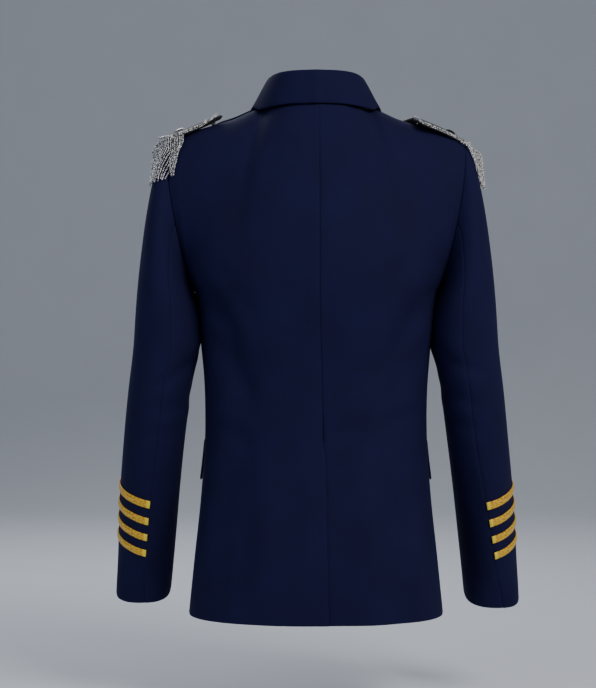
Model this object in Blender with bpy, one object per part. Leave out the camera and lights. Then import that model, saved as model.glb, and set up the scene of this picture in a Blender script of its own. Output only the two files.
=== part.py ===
"""A double-breasted jacket on an unseen wearer, built as the cloth pieces that a tailor cuts.

The wearer faces -Y, and the wearer's left is +X. The origin is the middle of the back neck seam's height,
on the neck's axis, where the jacket hangs from the wearer. All lengths are metres.
"""
import math

import bmesh
import bpy
import numpy as np

COLLECTION = "double_breasted_jacket"

# Driving dimensions
WALL = 0.002
SEAM_GAP = 0.0004
LAYER_GAP = 0.0007
LAYER = WALL + LAYER_GAP + 0.0006
LAPEL_LAYER = WALL + 0.0016
HEM_Z = -0.674
CHEST_Z = -0.245
BREAK_Z = -0.345
VENT_TOP_Z = -0.452
TUCK_RUN = 0.030
BODY_SHARE = 0.62
SQUARENESS = 0.85
SIDE_ANGLE = math.radians(94)
OVERLAP = 0.068
FLAP_Z = (-0.4985, -0.444)
FLAP_ACROSS = (0.50, 0.985)
STRIPE_WIDTH = 0.0098
STRIPE_PITCH = 0.0225
STRIPE_TOP = 0.150
BUTTON_RADIUS = 0.011
BUTTON_X = 0.048
BUTTON_HEIGHTS = (-0.352, -0.440, -0.528)
BUTTON_PROFILE = (
    (0.0, 0.0046),
    (0.0045, 0.0042),
    (0.0085, 0.0028),
    (BUTTON_RADIUS, 0.0010),
    (0.0100, 0.0),
    (0.0, 0.0),
)
BOARD_LENGTH = 0.079
BOARD_WIDTH = 0.056
BOARD_THICKNESS = 0.0045
BOARD_ROUND_FROM = 0.74
BOARD_ARCH = 0.0030
DOME_ALONG = 0.66
DOME_RADIUS = 0.008
DOME_HEIGHT = 0.0028
DOME_PROFILE = (
    (0.0, DOME_HEIGHT),
    (DOME_RADIUS * 0.45, DOME_HEIGHT * 0.86),
    (DOME_RADIUS * 0.82, DOME_HEIGHT * 0.45),
    (DOME_RADIUS, 0.0),
    (0.0, 0.0),
)
PIN_RADIUS = 0.0028
PIN_FOOT = 0.0004
PIN_PROFILE = ((0.0, 1.0), (0.8, 1.0), (1.0, 0.7), (1.0, 0.3), (0.7, 0.0), (0.0, 0.0))
FRINGE_FROM = 0.68
STRIP_HEIGHT = 0.0050
STRIP_THICKNESS = 0.0018
STRAND_LENGTH = 0.056
STRAND_THICKNESS = 0.0017
STRAND_CLEARANCE = 0.0016
STRANDS = 31

NAVY = (0.009, 0.013, 0.034, 1)
DARK = (0.006, 0.008, 0.020, 1)
GOLD = (0.72, 0.40, 0.02, 1)
BRASS = (0.80, 0.58, 0.24, 1)
SILVER = (0.72, 0.71, 0.69, 1)

# Body rings: height, half width, back and front depth, and where the centre back seam lies
BODY = {
    "z": (-0.674, -0.600, -0.520, -0.430, -0.360, -0.300, -0.245),
    "half_width": (0.170, 0.1625, 0.1540, 0.1485, 0.1500, 0.1565, 0.1630),
    "back": (0.126, 0.123, 0.112, 0.099, 0.098, 0.104, 0.110),
    "front": (-0.142, -0.134, -0.125, -0.120, -0.125, -0.132, -0.137),
    "seam_x": (-0.013, -0.011, -0.010, -0.008, -0.007, -0.005, -0.004),
}
MIDDLE_Y = -0.004

# The top edge of a half back, from the centre back seam to the shoulder point, and how the cloth arrives
BACK_TOP = {
    "across": (0.0, 0.15, 0.30, 0.42, 0.60, 0.80, 1.0),
    "x": (0.0, 0.028, 0.055, 0.074, 0.112, 0.158, 0.195),
    "y": (0.062, 0.057, 0.036, -0.004, -0.004, -0.004, -0.004),
    "z": (0.000, -0.001, -0.001, 0.000, -0.0145, -0.0280, -0.0425),
    "from_x": (0.0, 0.002, 0.006, 0.002, 0.0, 0.002, 0.016),
    "from_y": (0.024, 0.028, 0.040, 0.062, 0.068, 0.066, 0.060),
    "from_z": (-0.050, -0.046, -0.028, -0.004, 0.0, 0.0, -0.006),
}
# The top edge of a half front, from the lapel's roll to the shoulder point
FRONT_TOP = {
    "across": (0.0, 0.16, 0.40, 0.70, 1.0),
    "x": (0.062, 0.074, 0.112, 0.158, 0.195),
    "y": (-0.050, -0.004, -0.004, -0.004, -0.004),
    "z": (-0.022, 0.000, -0.0145, -0.0280, -0.0425),
    "from_x": (-0.012, -0.002, 0.0, 0.002, 0.012),
    "from_y": (-0.034, -0.050, -0.058, -0.060, -0.058),
    "from_z": (-0.036, -0.006, 0.0, 0.0, -0.006),
}
BACK_ARMHOLE_START = (0.009, 0.080, 0.010)
FRONT_ARMHOLE_START = (0.004, -0.066, 0.012)
CHEST_RUN = 0.090

# Left sleeve rings: height, centre, half width, half depth and forward lean in degrees
SLEEVE = {
    "z": (-0.655, -0.580, -0.510, -0.445, -0.380, -0.315, -0.285),
    "x": (0.2405, 0.2330, 0.2260, 0.2180, 0.2098, 0.2012, 0.2010),
    "y": (-0.080, -0.056, -0.034, -0.015, -0.003, 0.001, 0.001),
    "half_width": (0.0375, 0.0392, 0.0405, 0.0410, 0.0418, 0.0425, 0.0408),
    "half_depth": (0.048, 0.051, 0.055, 0.058, 0.061, 0.064, 0.066),
    "lean": (14, 18, 17, 10, 4, 0, 0),
}
CUFF_Z = SLEEVE["z"][0]
SLEEVE_SHARE = 0.66
BACK_SLEEVE_SEAM = math.radians(80)
FRONT_SLEEVE_SEAM = math.radians(300)

# Collar sections for the left half, from the centre back to the gorge: stand foot, fold and leaf edge
COLLAR = {
    "around": (0.0, 0.25, 0.50, 0.60, 0.70, 0.86, 1.0),
    "foot": (
        (0.0, 0.0585, 0.004),
        (0.030, 0.0520, 0.004),
        (0.055, 0.0310, 0.005),
        (0.0640, 0.0165, 0.0055),
        (0.0700, 0.0000, 0.006),
        (0.0680, -0.0260, -0.003),
        (0.0610, -0.0480, -0.016),
    ),
    "fold": (
        (0.0, 0.0570, 0.0430),
        (0.029, 0.0500, 0.0428),
        (0.0490, 0.0270, 0.0420),
        (0.0538, 0.0115, 0.0412),
        (0.0570, -0.0060, 0.0395),
        (0.0585, -0.0400, 0.0130),
        (0.0540, -0.0640, -0.0180),
    ),
    "edge": (
        (0.0, 0.0690, -0.0025),
        (0.036, 0.0625, -0.0028),
        (0.064, 0.0450, -0.0065),
        (0.0770, 0.0270, -0.0070),
        (0.0850, 0.0040, 0.0021),
        (0.0930, -0.0420, -0.0120),
        (0.0960, -0.0800, -0.0430),
    ),
}

# The shoulder boards' undersides: the inner end is propped up, and the left one is turned back a little
BOARD = {
    "left": {"middle_x": 0.1705, "yaw": math.radians(16), "z": (-0.0110, -0.0290, -0.0440)},
    "right": {"middle_x": 0.1680, "yaw": math.radians(-22), "z": (-0.0165, -0.0298, -0.0475)},
}
BOARD_MIDDLE_Y = -0.004

# Large soft folds: where they start and end on the surface (x, z), half width and depth
BACK_FOLDS = (
    {"start": (0.160, -0.235), "end": (0.105, -0.330), "half_width": 0.016, "depth": 0.0030},
    {"start": (0.150, -0.300), "end": (0.085, -0.385), "half_width": 0.014, "depth": 0.0022},
    {"start": (0.070, -0.440), "end": (0.085, -0.670), "half_width": 0.018, "depth": -0.0022},
    {"start": (0.115, -0.470), "end": (0.130, -0.670), "half_width": 0.016, "depth": 0.0024},
)
SLEEVE_FOLDS = (
    {"start": (20, -0.340), "end": (100, -0.372), "half_width": 0.011, "depth": 0.0028},
    {"start": (-10, -0.385), "end": (75, -0.398), "half_width": 0.010, "depth": 0.0024},
    {"start": (240, -0.330), "end": (330, -0.352), "half_width": 0.012, "depth": 0.0032},
    {"start": (250, -0.372), "end": (335, -0.384), "half_width": 0.011, "depth": 0.0028},
)


def mix(a, b, t):
    return a + (b - a) * t


def ease(t):
    t = min(max(t, 0.0), 1.0)
    return t * t * (3 - 2 * t)


def smooth(xs, ys, x):
    """A cubic curve through the points of a table, with no overshoot at its ends."""
    i = int(min(max(np.searchsorted(xs, x) - 1, 0), len(xs) - 2))
    slopes = np.gradient(np.asarray(ys, float), np.asarray(xs, float), axis=0)
    step = xs[i + 1] - xs[i]
    t = min(max((x - xs[i]) / step, 0.0), 1.0)
    a, b = np.asarray(ys[i], float), np.asarray(ys[i + 1], float)
    h1, h2 = 2 * t**3 - 3 * t**2 + 1, t**3 - 2 * t**2 + t
    h3, h4 = -2 * t**3 + 3 * t**2, t**3 - t**2
    return h1 * a + h2 * step * slopes[i] + h3 * b + h4 * step * slopes[i + 1]


def straight(xs, ys, x):
    return float(np.interp(x, xs, ys))


def bezier(a, b, c, d, t):
    s = 1 - t
    return s**3 * a + 3 * s * s * t * b + 3 * s * t * t * c + t**3 * d


def crease(across, along, folds, scale=1.0):
    """The depth of the soft folds at one place of a surface."""
    total = 0.0
    for fold in folds:
        start = np.array((fold["start"][0] * scale, fold["start"][1]))
        end = np.array((fold["end"][0] * scale, fold["end"][1]))
        run = end - start
        length = float(np.hypot(*run))
        offset = np.array((across, along)) - start
        share = float(offset @ run) / length**2
        away = abs(float(offset[0] * run[1] - offset[1] * run[0])) / length
        if -0.2 < share < 1.2:
            fade = ease((share + 0.2) / 0.4) * ease((1.2 - share) / 0.4)
            total += fold["depth"] * fade * math.exp(-((away / fold["half_width"]) ** 2))
    return total


def ring(angle, z):
    """A point of the body's ring at a height; 0 is the centre back and a half turn the centre front."""
    half = float(smooth(BODY["z"], BODY["half_width"], z))
    back = float(smooth(BODY["z"], BODY["back"], z))
    front = float(smooth(BODY["z"], BODY["front"], z))
    s, c = math.sin(angle), math.cos(angle)
    depth = back - MIDDLE_Y if c > 0 else MIDDLE_Y - front
    x = half * math.copysign(abs(s) ** SQUARENESS, s)
    y = MIDDLE_Y + depth * math.copysign(abs(c) ** SQUARENESS, c)
    return np.array((x, y, z))


def angle_at(x, z):
    """The ring angle, near the centre back, at which the ring passes a given x."""
    half = float(smooth(BODY["z"], BODY["half_width"], z))
    share = min(abs(x) / half, 1.0)
    return math.copysign(math.asin(share ** (1 / SQUARENESS)), x)


def top_row(table, across):
    point = np.array([straight(table["across"], table[k], across) for k in ("x", "y", "z")])
    pull = np.array([straight(table["across"], table[k], across) for k in ("from_x", "from_y", "from_z")])
    return point, pull


def rising(low, angle, top, pull, across, edge_start):
    """The four points of the column that climbs from the chest ring to the top edge."""
    slope = (ring(angle, CHEST_Z) - ring(angle, CHEST_Z - 0.02)) / 0.02
    turn = max(across, 0.0) ** 4
    start = mix(slope * CHEST_RUN, np.array(edge_start), turn)
    return low, low + start, top + pull, top


def back_point(across, up, side=1):
    """A half back's outer face: across runs from the centre seam to the side, up from hem to neck."""
    z = mix(HEM_Z, CHEST_Z, min(up / BODY_SHARE, 1.0))
    seam = side * float(smooth(BODY["z"], BODY["seam_x"], z))
    angle = mix(angle_at(seam, z), SIDE_ANGLE, across)
    if up <= BODY_SHARE:
        point = ring(angle, z)
    else:
        low = ring(angle, CHEST_Z)
        top, pull = top_row(BACK_TOP, across)
        top[0] += side * BODY["seam_x"][-1] * (1 - ease(across / 0.3))
        t = (up - BODY_SHARE) / (1 - BODY_SHARE)
        point = bezier(*rising(low, angle, top, pull, across, BACK_ARMHOLE_START), t)
    inset = crease(point[0], point[2], BACK_FOLDS) * ease((1 - across) / 0.15)
    return point - np.array((0.25, 1.0, 0.0)) * inset


def front_edge_angle(z):
    """Where the front's inner edge lies: the overlap below the break, then the lapel's roll."""
    x = -OVERLAP
    if z > BREAK_Z:
        x = mix(-OVERLAP, -0.016, (z - BREAK_Z) / (CHEST_Z - BREAK_Z))
    return math.pi - angle_at(x, z)


def front_point(across, up):
    """The left half front's outer face: across runs from its inner edge to the side seam."""
    if up <= BODY_SHARE:
        z = mix(HEM_Z, CHEST_Z, up / BODY_SHARE)
        return ring(mix(front_edge_angle(z), SIDE_ANGLE, across), z)
    angle = mix(front_edge_angle(CHEST_Z), SIDE_ANGLE, across)
    top, pull = top_row(FRONT_TOP, across)
    t = (up - BODY_SHARE) / (1 - BODY_SHARE)
    return bezier(*rising(ring(angle, CHEST_Z), angle, top, pull, across, FRONT_ARMHOLE_START), t)


def armhole(turn):
    """The armhole's seam, from the underarm up the back, over the shoulder and down the front."""
    turn = turn % (2 * math.pi)
    if turn <= math.pi:
        t = turn / math.pi
        return back_point(1.0, mix(BODY_SHARE, 1.0, t))
    t = (2 * math.pi - turn) / math.pi
    return front_point(1.0, mix(BODY_SHARE, 1.0, t))


def sleeve_ring(turn, z):
    """A point of the left sleeve; 0 faces the body, a quarter turn the back, a half turn outwards."""
    row = {k: float(smooth(SLEEVE["z"], SLEEVE[k], z)) for k in SLEEVE if k != "z"}
    s, c = math.sin(turn), math.cos(turn)
    x = row["x"] - row["half_width"] * math.copysign(abs(c) ** 0.92, c)
    y = row["y"] + row["half_depth"] * math.copysign(abs(s) ** 0.92, s)
    return np.array((x, y, z - (y - row["y"]) * math.tan(math.radians(row["lean"]))))


def sleeve_point(turn, up):
    """The left sleeve's outer face, up from the cuff to the armhole."""
    if up <= SLEEVE_SHARE:
        z = mix(CUFF_Z, SLEEVE["z"][-1], up / SLEEVE_SHARE)
        point = sleeve_ring(turn, z)
        degrees = math.degrees(turn)
        degrees -= 360 if degrees > 340 else 0
        inset = crease(degrees * 0.001, z, SLEEVE_FOLDS, 0.001)
        centre = np.array((float(smooth(SLEEVE["z"], SLEEVE["x"], z)), point[1] * 0.3, point[2]))
        towards = centre - point
        return point + towards / np.linalg.norm(towards) * inset
    low = sleeve_ring(turn, SLEEVE["z"][-1])
    outward = (1 - math.cos(turn)) / 2
    slope = (low - sleeve_ring(turn, SLEEVE["z"][-1] - 0.02)) / 0.02
    start = slope * mix(0.012, 0.115, outward)
    pull = np.array((mix(0.003, 0.017, outward), 0.010 * math.sin(turn), mix(-0.010, -0.008, outward)))
    seat = armhole(turn) + np.array((mix(0.0030, 0.0010, outward), 0.0, mix(0.0010, 0.0, outward)))
    t = (up - SLEEVE_SHARE) / (1 - SLEEVE_SHARE)
    return bezier(low, low + start, seat + pull, seat, t)


def normal_of(place, u, v):
    """The outward direction of a surface, from its neighbours on both sides."""
    d = 0.004
    a = place(min(u + d, 1), v) - place(max(u - d, 0), v)
    b = place(u, min(v + d, 1)) - place(u, max(v - d, 0))
    n = np.cross(a, b)
    return n / max(np.linalg.norm(n), 1e-12)


def material(name, colour, roughness, metallic=0.0):
    found = bpy.data.materials.get(name)
    if found:
        return found
    made = bpy.data.materials.new(name)
    made.use_nodes = True
    shader = made.node_tree.nodes["Principled BSDF"]
    shader.inputs["Base Color"].default_value = colour
    shader.inputs["Roughness"].default_value = roughness
    shader.inputs["Metallic"].default_value = metallic
    return made


def add_object(name, mesh_data, finish):
    item = bpy.data.objects.new(name, mesh_data)
    bpy.data.collections[COLLECTION].objects.link(item)
    mesh_data.materials.append(finish)
    mesh_data.shade_smooth()
    mesh_data.set_sharp_from_angle(angle=math.radians(40))
    return item


def finished(name, mesh, finish):
    """Turns a closed mesh's faces outwards and makes its object."""
    bmesh.ops.recalc_face_normals(mesh, faces=mesh.faces)
    if mesh.calc_volume(signed=True) < 0:
        bmesh.ops.reverse_faces(mesh, faces=mesh.faces)
    data = bpy.data.meshes.new(name)
    mesh.to_mesh(data)
    mesh.free()
    return add_object(name, data, finish)


def wall(name, columns, rows, place, finish, side=1, outwards=1, thickness=WALL, lift=0.0, gap=SEAM_GAP / 2):
    """A cloth wall on a surface: an open grid, its inner copy one thickness in, and the rim between."""
    mesh = bmesh.new()
    bmesh.ops.create_grid(mesh, x_segments=columns, y_segments=rows, size=0.5)
    places = {v: (round((v.co.x + 0.5) * columns), round((v.co.y + 0.5) * rows)) for v in mesh.verts}
    outer, inner = {}, {}
    for i in range(columns + 1):
        for j in range(rows + 1):
            u, v = i / columns, j / rows
            n = normal_of(place, u, v) * outwards
            raised = lift(u, v) if callable(lift) else lift
            outer[i, j] = place(u, v) + n * raised
            inner[i, j] = outer[i, j] - n * thickness
    for points in (outer, inner):
        drawn_in(points, columns, rows, gap)
    faces = list(mesh.faces)
    copy = bmesh.ops.extrude_face_region(mesh, geom=faces, use_keep_orig=True)
    new = [g for g in copy["geom"] if isinstance(g, bmesh.types.BMVert)]
    by_place = {(round(v.co.x, 5), round(v.co.y, 5)): key for v, key in places.items()}
    keys = {v: by_place[round(v.co.x, 5), round(v.co.y, 5)] for v in new}
    for vert, key in places.items():
        vert.co = outer[key] * np.array((side, 1, 1))
    for vert, key in keys.items():
        vert.co = inner[key] * np.array((side, 1, 1))
    return finished(name, mesh, finish)


def drawn_in(points, columns, rows, gap):
    """Draws a grid's edge in by half a seam's gap, towards the next row of points."""
    old = dict(points)
    for (i, j), here in old.items():
        move = np.zeros(3)
        if i in (0, columns):
            towards = old[1 if i == 0 else columns - 1, j] - here
            move += towards / np.linalg.norm(towards)
        if j in (0, rows):
            towards = old[i, 1 if j == 0 else rows - 1] - here
            move += towards / np.linalg.norm(towards)
        points[i, j] = here + move * gap


def body_row(v, count_low, count_high):
    """Spreads a panel's rows so that one of them lies on the chest ring."""
    total = count_low + count_high
    at = v * total
    if at <= count_low:
        return at / count_low * BODY_SHARE
    return mix(BODY_SHARE, 1.0, (at - count_low) / count_high)


def vent_share(up):
    """0 above the vent and 1 in it, with a slanted top."""
    z = mix(HEM_Z, CHEST_Z, min(up / BODY_SHARE, 1.0))
    return ease((VENT_TOP_Z - z) / 0.022 + 0.5)


def tuck_share(up):
    """0 above the vent and 1 from just over its top, where the under layer has gone in."""
    z = mix(HEM_Z, CHEST_Z, min(up / BODY_SHARE, 1.0))
    return ease((VENT_TOP_Z + TUCK_RUN * 1.8 - z) / TUCK_RUN)


def make_backs(finish):
    low, high, columns = 14, 9, 9

    def left_back(u, v):
        up = body_row(v, low, high)
        return back_point(u - 0.035 * vent_share(up) * (1 - u), up)

    def right_back(u, v):
        up = body_row(v, low, high)
        return back_point(u - 0.10 * vent_share(up) * (1 - u), up, side=-1)

    def tucked(u, v):
        near = 1 - ease((u - 0.12) / 0.16)
        return -tuck_share(body_row(v, low, high)) * near * (WALL + LAYER_GAP + 0.0004)

    wall("back_left", columns, low + high, left_back, finish, outwards=-1, gap=0.0004)
    wall("back_right", columns, low + high, right_back, finish, side=-1, outwards=-1, lift=tucked, gap=0.0004)


def over(across, up):
    """How far the left front lies over the right one, and over the right lapel above the break."""
    z = front_point(0.2, up)[2]
    lapel = ease((z - BREAK_Z + 0.060) / 0.03) * (1 - ease((z + 0.150) / 0.06))
    return (LAYER + lapel * (LAPEL_LAYER + 0.0005)) * (1 - ease((across - 0.46) / 0.16))


def make_fronts(finish):
    low, high, columns = 14, 8, 10

    def panel(u, v):
        return front_point(u, body_row(v, low, high))

    wall("front_left", columns, low + high, panel, finish, lift=lambda u, v: over(u, body_row(v, low, high)))
    wall("front_right", columns, low + high, panel, finish, side=-1)


def make_sleeves(finish):
    low, high = 13, 6

    def row(v):
        at = v * (low + high)
        if at <= low:
            return at / low * SLEEVE_SHARE
        return mix(SLEEVE_SHARE, 1.0, (at - low) / high)

    def top_sleeve(u, v):
        return sleeve_point(mix(BACK_SLEEVE_SEAM, FRONT_SLEEVE_SEAM, u), row(v))

    def under_sleeve(u, v):
        return sleeve_point(mix(FRONT_SLEEVE_SEAM - 2 * math.pi, BACK_SLEEVE_SEAM, u) % (2 * math.pi), row(v))

    for word, side in (("left", 1), ("right", -1)):
        wall(f"top_sleeve_{word}", 11, low + high, top_sleeve, finish, side=side, outwards=-1)
        wall(f"under_sleeve_{word}", 7, low + high, under_sleeve, finish, side=side, outwards=-1)


def make_stripes(finish):
    count = 4
    length = abs(SLEEVE["z"][-1] - CUFF_Z)

    for word, side in (("left", 1), ("right", -1)):
        for number in range(count):
            top = STRIPE_TOP - number * STRIPE_PITCH

            def band(u, v):
                high = mix(top - STRIPE_WIDTH, top, v)
                turn = mix(BACK_SLEEVE_SEAM + 0.03, FRONT_SLEEVE_SEAM - 0.03, u)
                return sleeve_point(turn, high / length * SLEEVE_SHARE)

            wall(f"stripe_{word}_{number + 1}", 16, 1, band, finish, side=side, outwards=-1,
                 thickness=0.0009, lift=0.0009 + 0.0008, gap=0.0)


def collar_point(u, v):
    """The collar: u from gorge to gorge round the back, v from the stand's foot to the leaf's edge."""
    turn = u * 2 - 1
    around = abs(turn)
    foot, fold, edge = (smooth(COLLAR["around"], COLLAR[k], around) for k in ("foot", "fold", "edge"))
    out = edge - foot
    out[2] = 0
    out /= np.linalg.norm(out)
    crown = fold + out * 0.003
    rise = np.array((0, 0, 0.010))
    if v < 0.4:
        point = bezier(foot, foot + rise, crown - out * 0.004 - rise * 0.9, crown - out * 0.002, v / 0.4)
    else:
        roll = crown + out * 0.0035
        t = (v - 0.4) / 0.6
        point = bezier(roll, roll + out * 0.0035, edge + (crown - edge) * 0.35 + out * 0.002, edge, t)
    return point * np.array((math.copysign(1, turn), 1, 1))


def make_collar(finish):
    wall("collar", 26, 9, collar_point, finish, outwards=1, thickness=0.0018, gap=0.0)


def lapel_place(u, v):
    """Where the lapel's points lie on the front: u from the roll outwards, v from the break to the gorge."""
    low = (BREAK_Z - HEM_Z) / (CHEST_Z - HEM_Z) * BODY_SHARE
    width = 0.46 * math.sin(min(v * 1.05 + 0.02, 1.0) * math.pi / 2) ** 0.8
    return u * width, mix(low, 0.885, v) + 0.030 * v**3 * u


def lapel_point(u, v):
    return front_point(*lapel_place(u, v))


def make_lapels(finish):
    def on_left(u, v):
        across, up = lapel_place(u, v)
        return over(across, up) + LAPEL_LAYER + 0.0010 * ease(u)

    def on_right(u, v):
        return LAPEL_LAYER

    wall("lapel_left", 6, 12, lapel_point, finish, lift=on_left, gap=0.0004)
    wall("lapel_right", 6, 12, lapel_point, finish, side=-1, lift=on_right, gap=0.0004)


def make_flaps(finish):
    for word, side in (("left", 1), ("right", -1)):

        def place(u, v):
            z = mix(FLAP_Z[0], FLAP_Z[1], v) + 0.012 * (1 - u)
            return mix(*FLAP_ACROSS, u), (z - HEM_Z) / (CHEST_Z - HEM_Z) * BODY_SHARE

        def hang(u, v):
            under = over(*place(u, v)) if side == 1 else 0.0
            return under + WALL + LAYER_GAP + 0.0003 + 0.0026 * (1 - v) * ease(u)

        def cloth(u, v):
            return front_point(*place(u, v))

        wall(f"pocket_flap_{word}", 9, 3, cloth, finish, side=side, lift=hang)


def turned(name, foot, axis, profile, finish, side=1):
    """A profile of radius and height, turned about an axis through its foot."""
    mesh = bmesh.new()
    ends = [mesh.verts.new((r, 0, h)) for r, h in profile]
    edges = [mesh.edges.new(pair) for pair in zip(ends, ends[1:])]
    bmesh.ops.spin(mesh, geom=ends + edges, cent=(0, 0, 0), axis=(0, 0, 1), angle=2 * math.pi,
                   steps=14, use_merge=True, use_duplicate=False)
    bmesh.ops.remove_doubles(mesh, verts=mesh.verts, dist=0.00005)
    bmesh.ops.holes_fill(mesh, edges=[e for e in mesh.edges if e.is_boundary], sides=0)
    n = np.array(axis, float) / np.linalg.norm(axis)
    across = np.cross(n, (0, 1, 0.01))
    across /= np.linalg.norm(across)
    up = np.cross(n, across)
    for vert in mesh.verts:
        x, y, h = vert.co
        vert.co = (foot + across * x + up * y + n * h) * np.array((side, 1, 1))
    return finished(name, mesh, finish)


def make_buttons(finish):
    """Plain domed buttons in two columns, turned from a profile and set on the left front."""
    for column, x in (("left", BUTTON_X), ("right", -BUTTON_X)):
        for number, z in enumerate(BUTTON_HEIGHTS):
            edge = front_edge_angle(z)
            across = (edge - math.pi + angle_at(x, z)) / (edge - SIDE_ANGLE)
            up = (z - HEM_Z) / (CHEST_Z - HEM_Z) * BODY_SHARE
            out = normal_of(front_point, across, up)
            foot = front_point(across, up) + out * (over(across, up) + LAYER_GAP * 0.6)
            turned(f"button_{column}_{number + 1}", foot, out, BUTTON_PROFILE, finish)


def board_frame(word):
    """The left-hand form of a shoulder board's underside: along 0 to 1 outwards, across -1 to 1 backwards."""
    board = BOARD[word]
    cos, sin = math.cos(board["yaw"]), math.sin(board["yaw"])

    def place(along, across):
        x, y = (along - 0.5) * BOARD_LENGTH, across * BOARD_WIDTH / 2
        z = float(smooth((0.0, 0.5, 1.0), board["z"], along)) - BOARD_ARCH * across**2
        return np.array((board["middle_x"] + x * cos - y * sin, BOARD_MIDDLE_Y + x * sin + y * cos, z))

    return place


def board_half_width(along):
    """1 on the straight part, falling to a blunt round end; the inner corners are slightly eased."""
    outer = max(along - BOARD_ROUND_FROM, 0) / (1 - BOARD_ROUND_FROM)
    inner = max(0.05 - along, 0) / 0.05
    return max(1 - outer**2.4, 0.02) ** (1 / 2.4) * (1 - 0.08 * inner**2)


def outline_of(place, count, out):
    """Evenly spaced points along the board's free edge, from the back side round the end to the front."""
    fine = 240
    rows = []
    for k in range(fine + 1):
        side = 1 if k <= fine / 2 else -1
        share = 1 - abs(k - fine / 2) / (fine / 2)
        straight_part = (BOARD_ROUND_FROM - FRINGE_FROM) / (1 - FRINGE_FROM) * 0.75
        if share < straight_part:
            along = mix(FRINGE_FROM, BOARD_ROUND_FROM, share / straight_part)
        else:
            turn = (share - straight_part) / (1 - straight_part) * math.pi / 2
            along = BOARD_ROUND_FROM + (1 - BOARD_ROUND_FROM) * math.sin(turn) ** (2 / 2.4)
        outer = min(max(along - BOARD_ROUND_FROM, 0) / (1 - BOARD_ROUND_FROM), 1)
        half = max(1 - outer**2.4, 0) ** (1 / 2.4)
        rows.append(place(along, side * half))
    rows = np.array(rows)
    steps = np.concatenate(((0,), np.cumsum(np.linalg.norm(np.diff(rows, axis=0), axis=1))))
    at = np.linspace(0, steps[-1], count)
    points = np.stack([np.interp(at, steps, rows[:, axis]) for axis in range(3)], axis=1)
    along = np.gradient(points, axis=0)
    away = np.stack((-along[:, 1], along[:, 0], np.zeros(count)), axis=1)
    away /= np.linalg.norm(away, axis=1)[:, None]
    centre = points.mean(axis=0)
    away *= np.sign(((points - centre) * away).sum(axis=1))[:, None]
    return points + away * out, away


def make_boards(cloth, dark, metal):
    for word, side in (("left", 1), ("right", -1)):
        place = board_frame(word)

        def upper(u, v):
            return place(u, (v * 2 - 1) * board_half_width(u)) + np.array((0, 0, BOARD_THICKNESS))

        wall(f"shoulder_board_{word}", 10, 6, upper, cloth, side=side, thickness=BOARD_THICKNESS, gap=0.0)
        up = normal_of(lambda u, v: place(u, v * 2 - 1), DOME_ALONG, 0.5)
        top = upper(DOME_ALONG, 0.5) + up * 0.0007
        turned(f"board_dome_{word}", top, up, DOME_PROFILE, dark, side)
        under = place(0.07, 0.0)
        shoulder = straight(BACK_TOP["x"], BACK_TOP["z"], under[0])
        high = under[2] - 0.0006 - PIN_RADIUS / 2 - shoulder
        pin = [(PIN_RADIUS * wide, mix(PIN_FOOT, high, share)) for wide, share in PIN_PROFILE]
        turned(f"board_pin_{word}", np.array((under[0], under[1], shoulder)), (0, 0, 1), pin, metal, side)


def cloth_cloud():
    """Points of the left shoulder's cloth, which the strands must clear."""
    points = []
    for turn in np.linspace(0.6, 5.7, 64):
        for up in np.linspace(0.55, 1.0, 40):
            points.append(sleeve_point(float(turn), float(up)))
    for across in np.linspace(0.5, 1.0, 16):
        for up in np.linspace(0.75, 1.0, 30):
            points.append(back_point(float(across), float(up)))
            points.append(front_point(float(across), float(up)))
    return np.array(points)


def hung(point, cloud):
    """Moves a strand's point outwards until it clears the cloth beside it."""
    centre = np.array((0.172, -0.004))
    beside = cloud[np.abs(cloud[:, 2] - point[2]) < 0.006]
    arm = point[:2] - centre
    reach = float(np.hypot(*arm))
    arm = arm / reach
    off = beside[:, :2] - centre
    along = off @ arm
    apart = np.abs(off[:, 0] * arm[1] - off[:, 1] * arm[0])
    near = along[(apart < 0.006) & (along > 0)]
    need = float(near.max()) + STRAND_CLEARANCE if len(near) else 0.0
    return np.array((*(centre + arm * max(reach, need)), point[2]))


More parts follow.
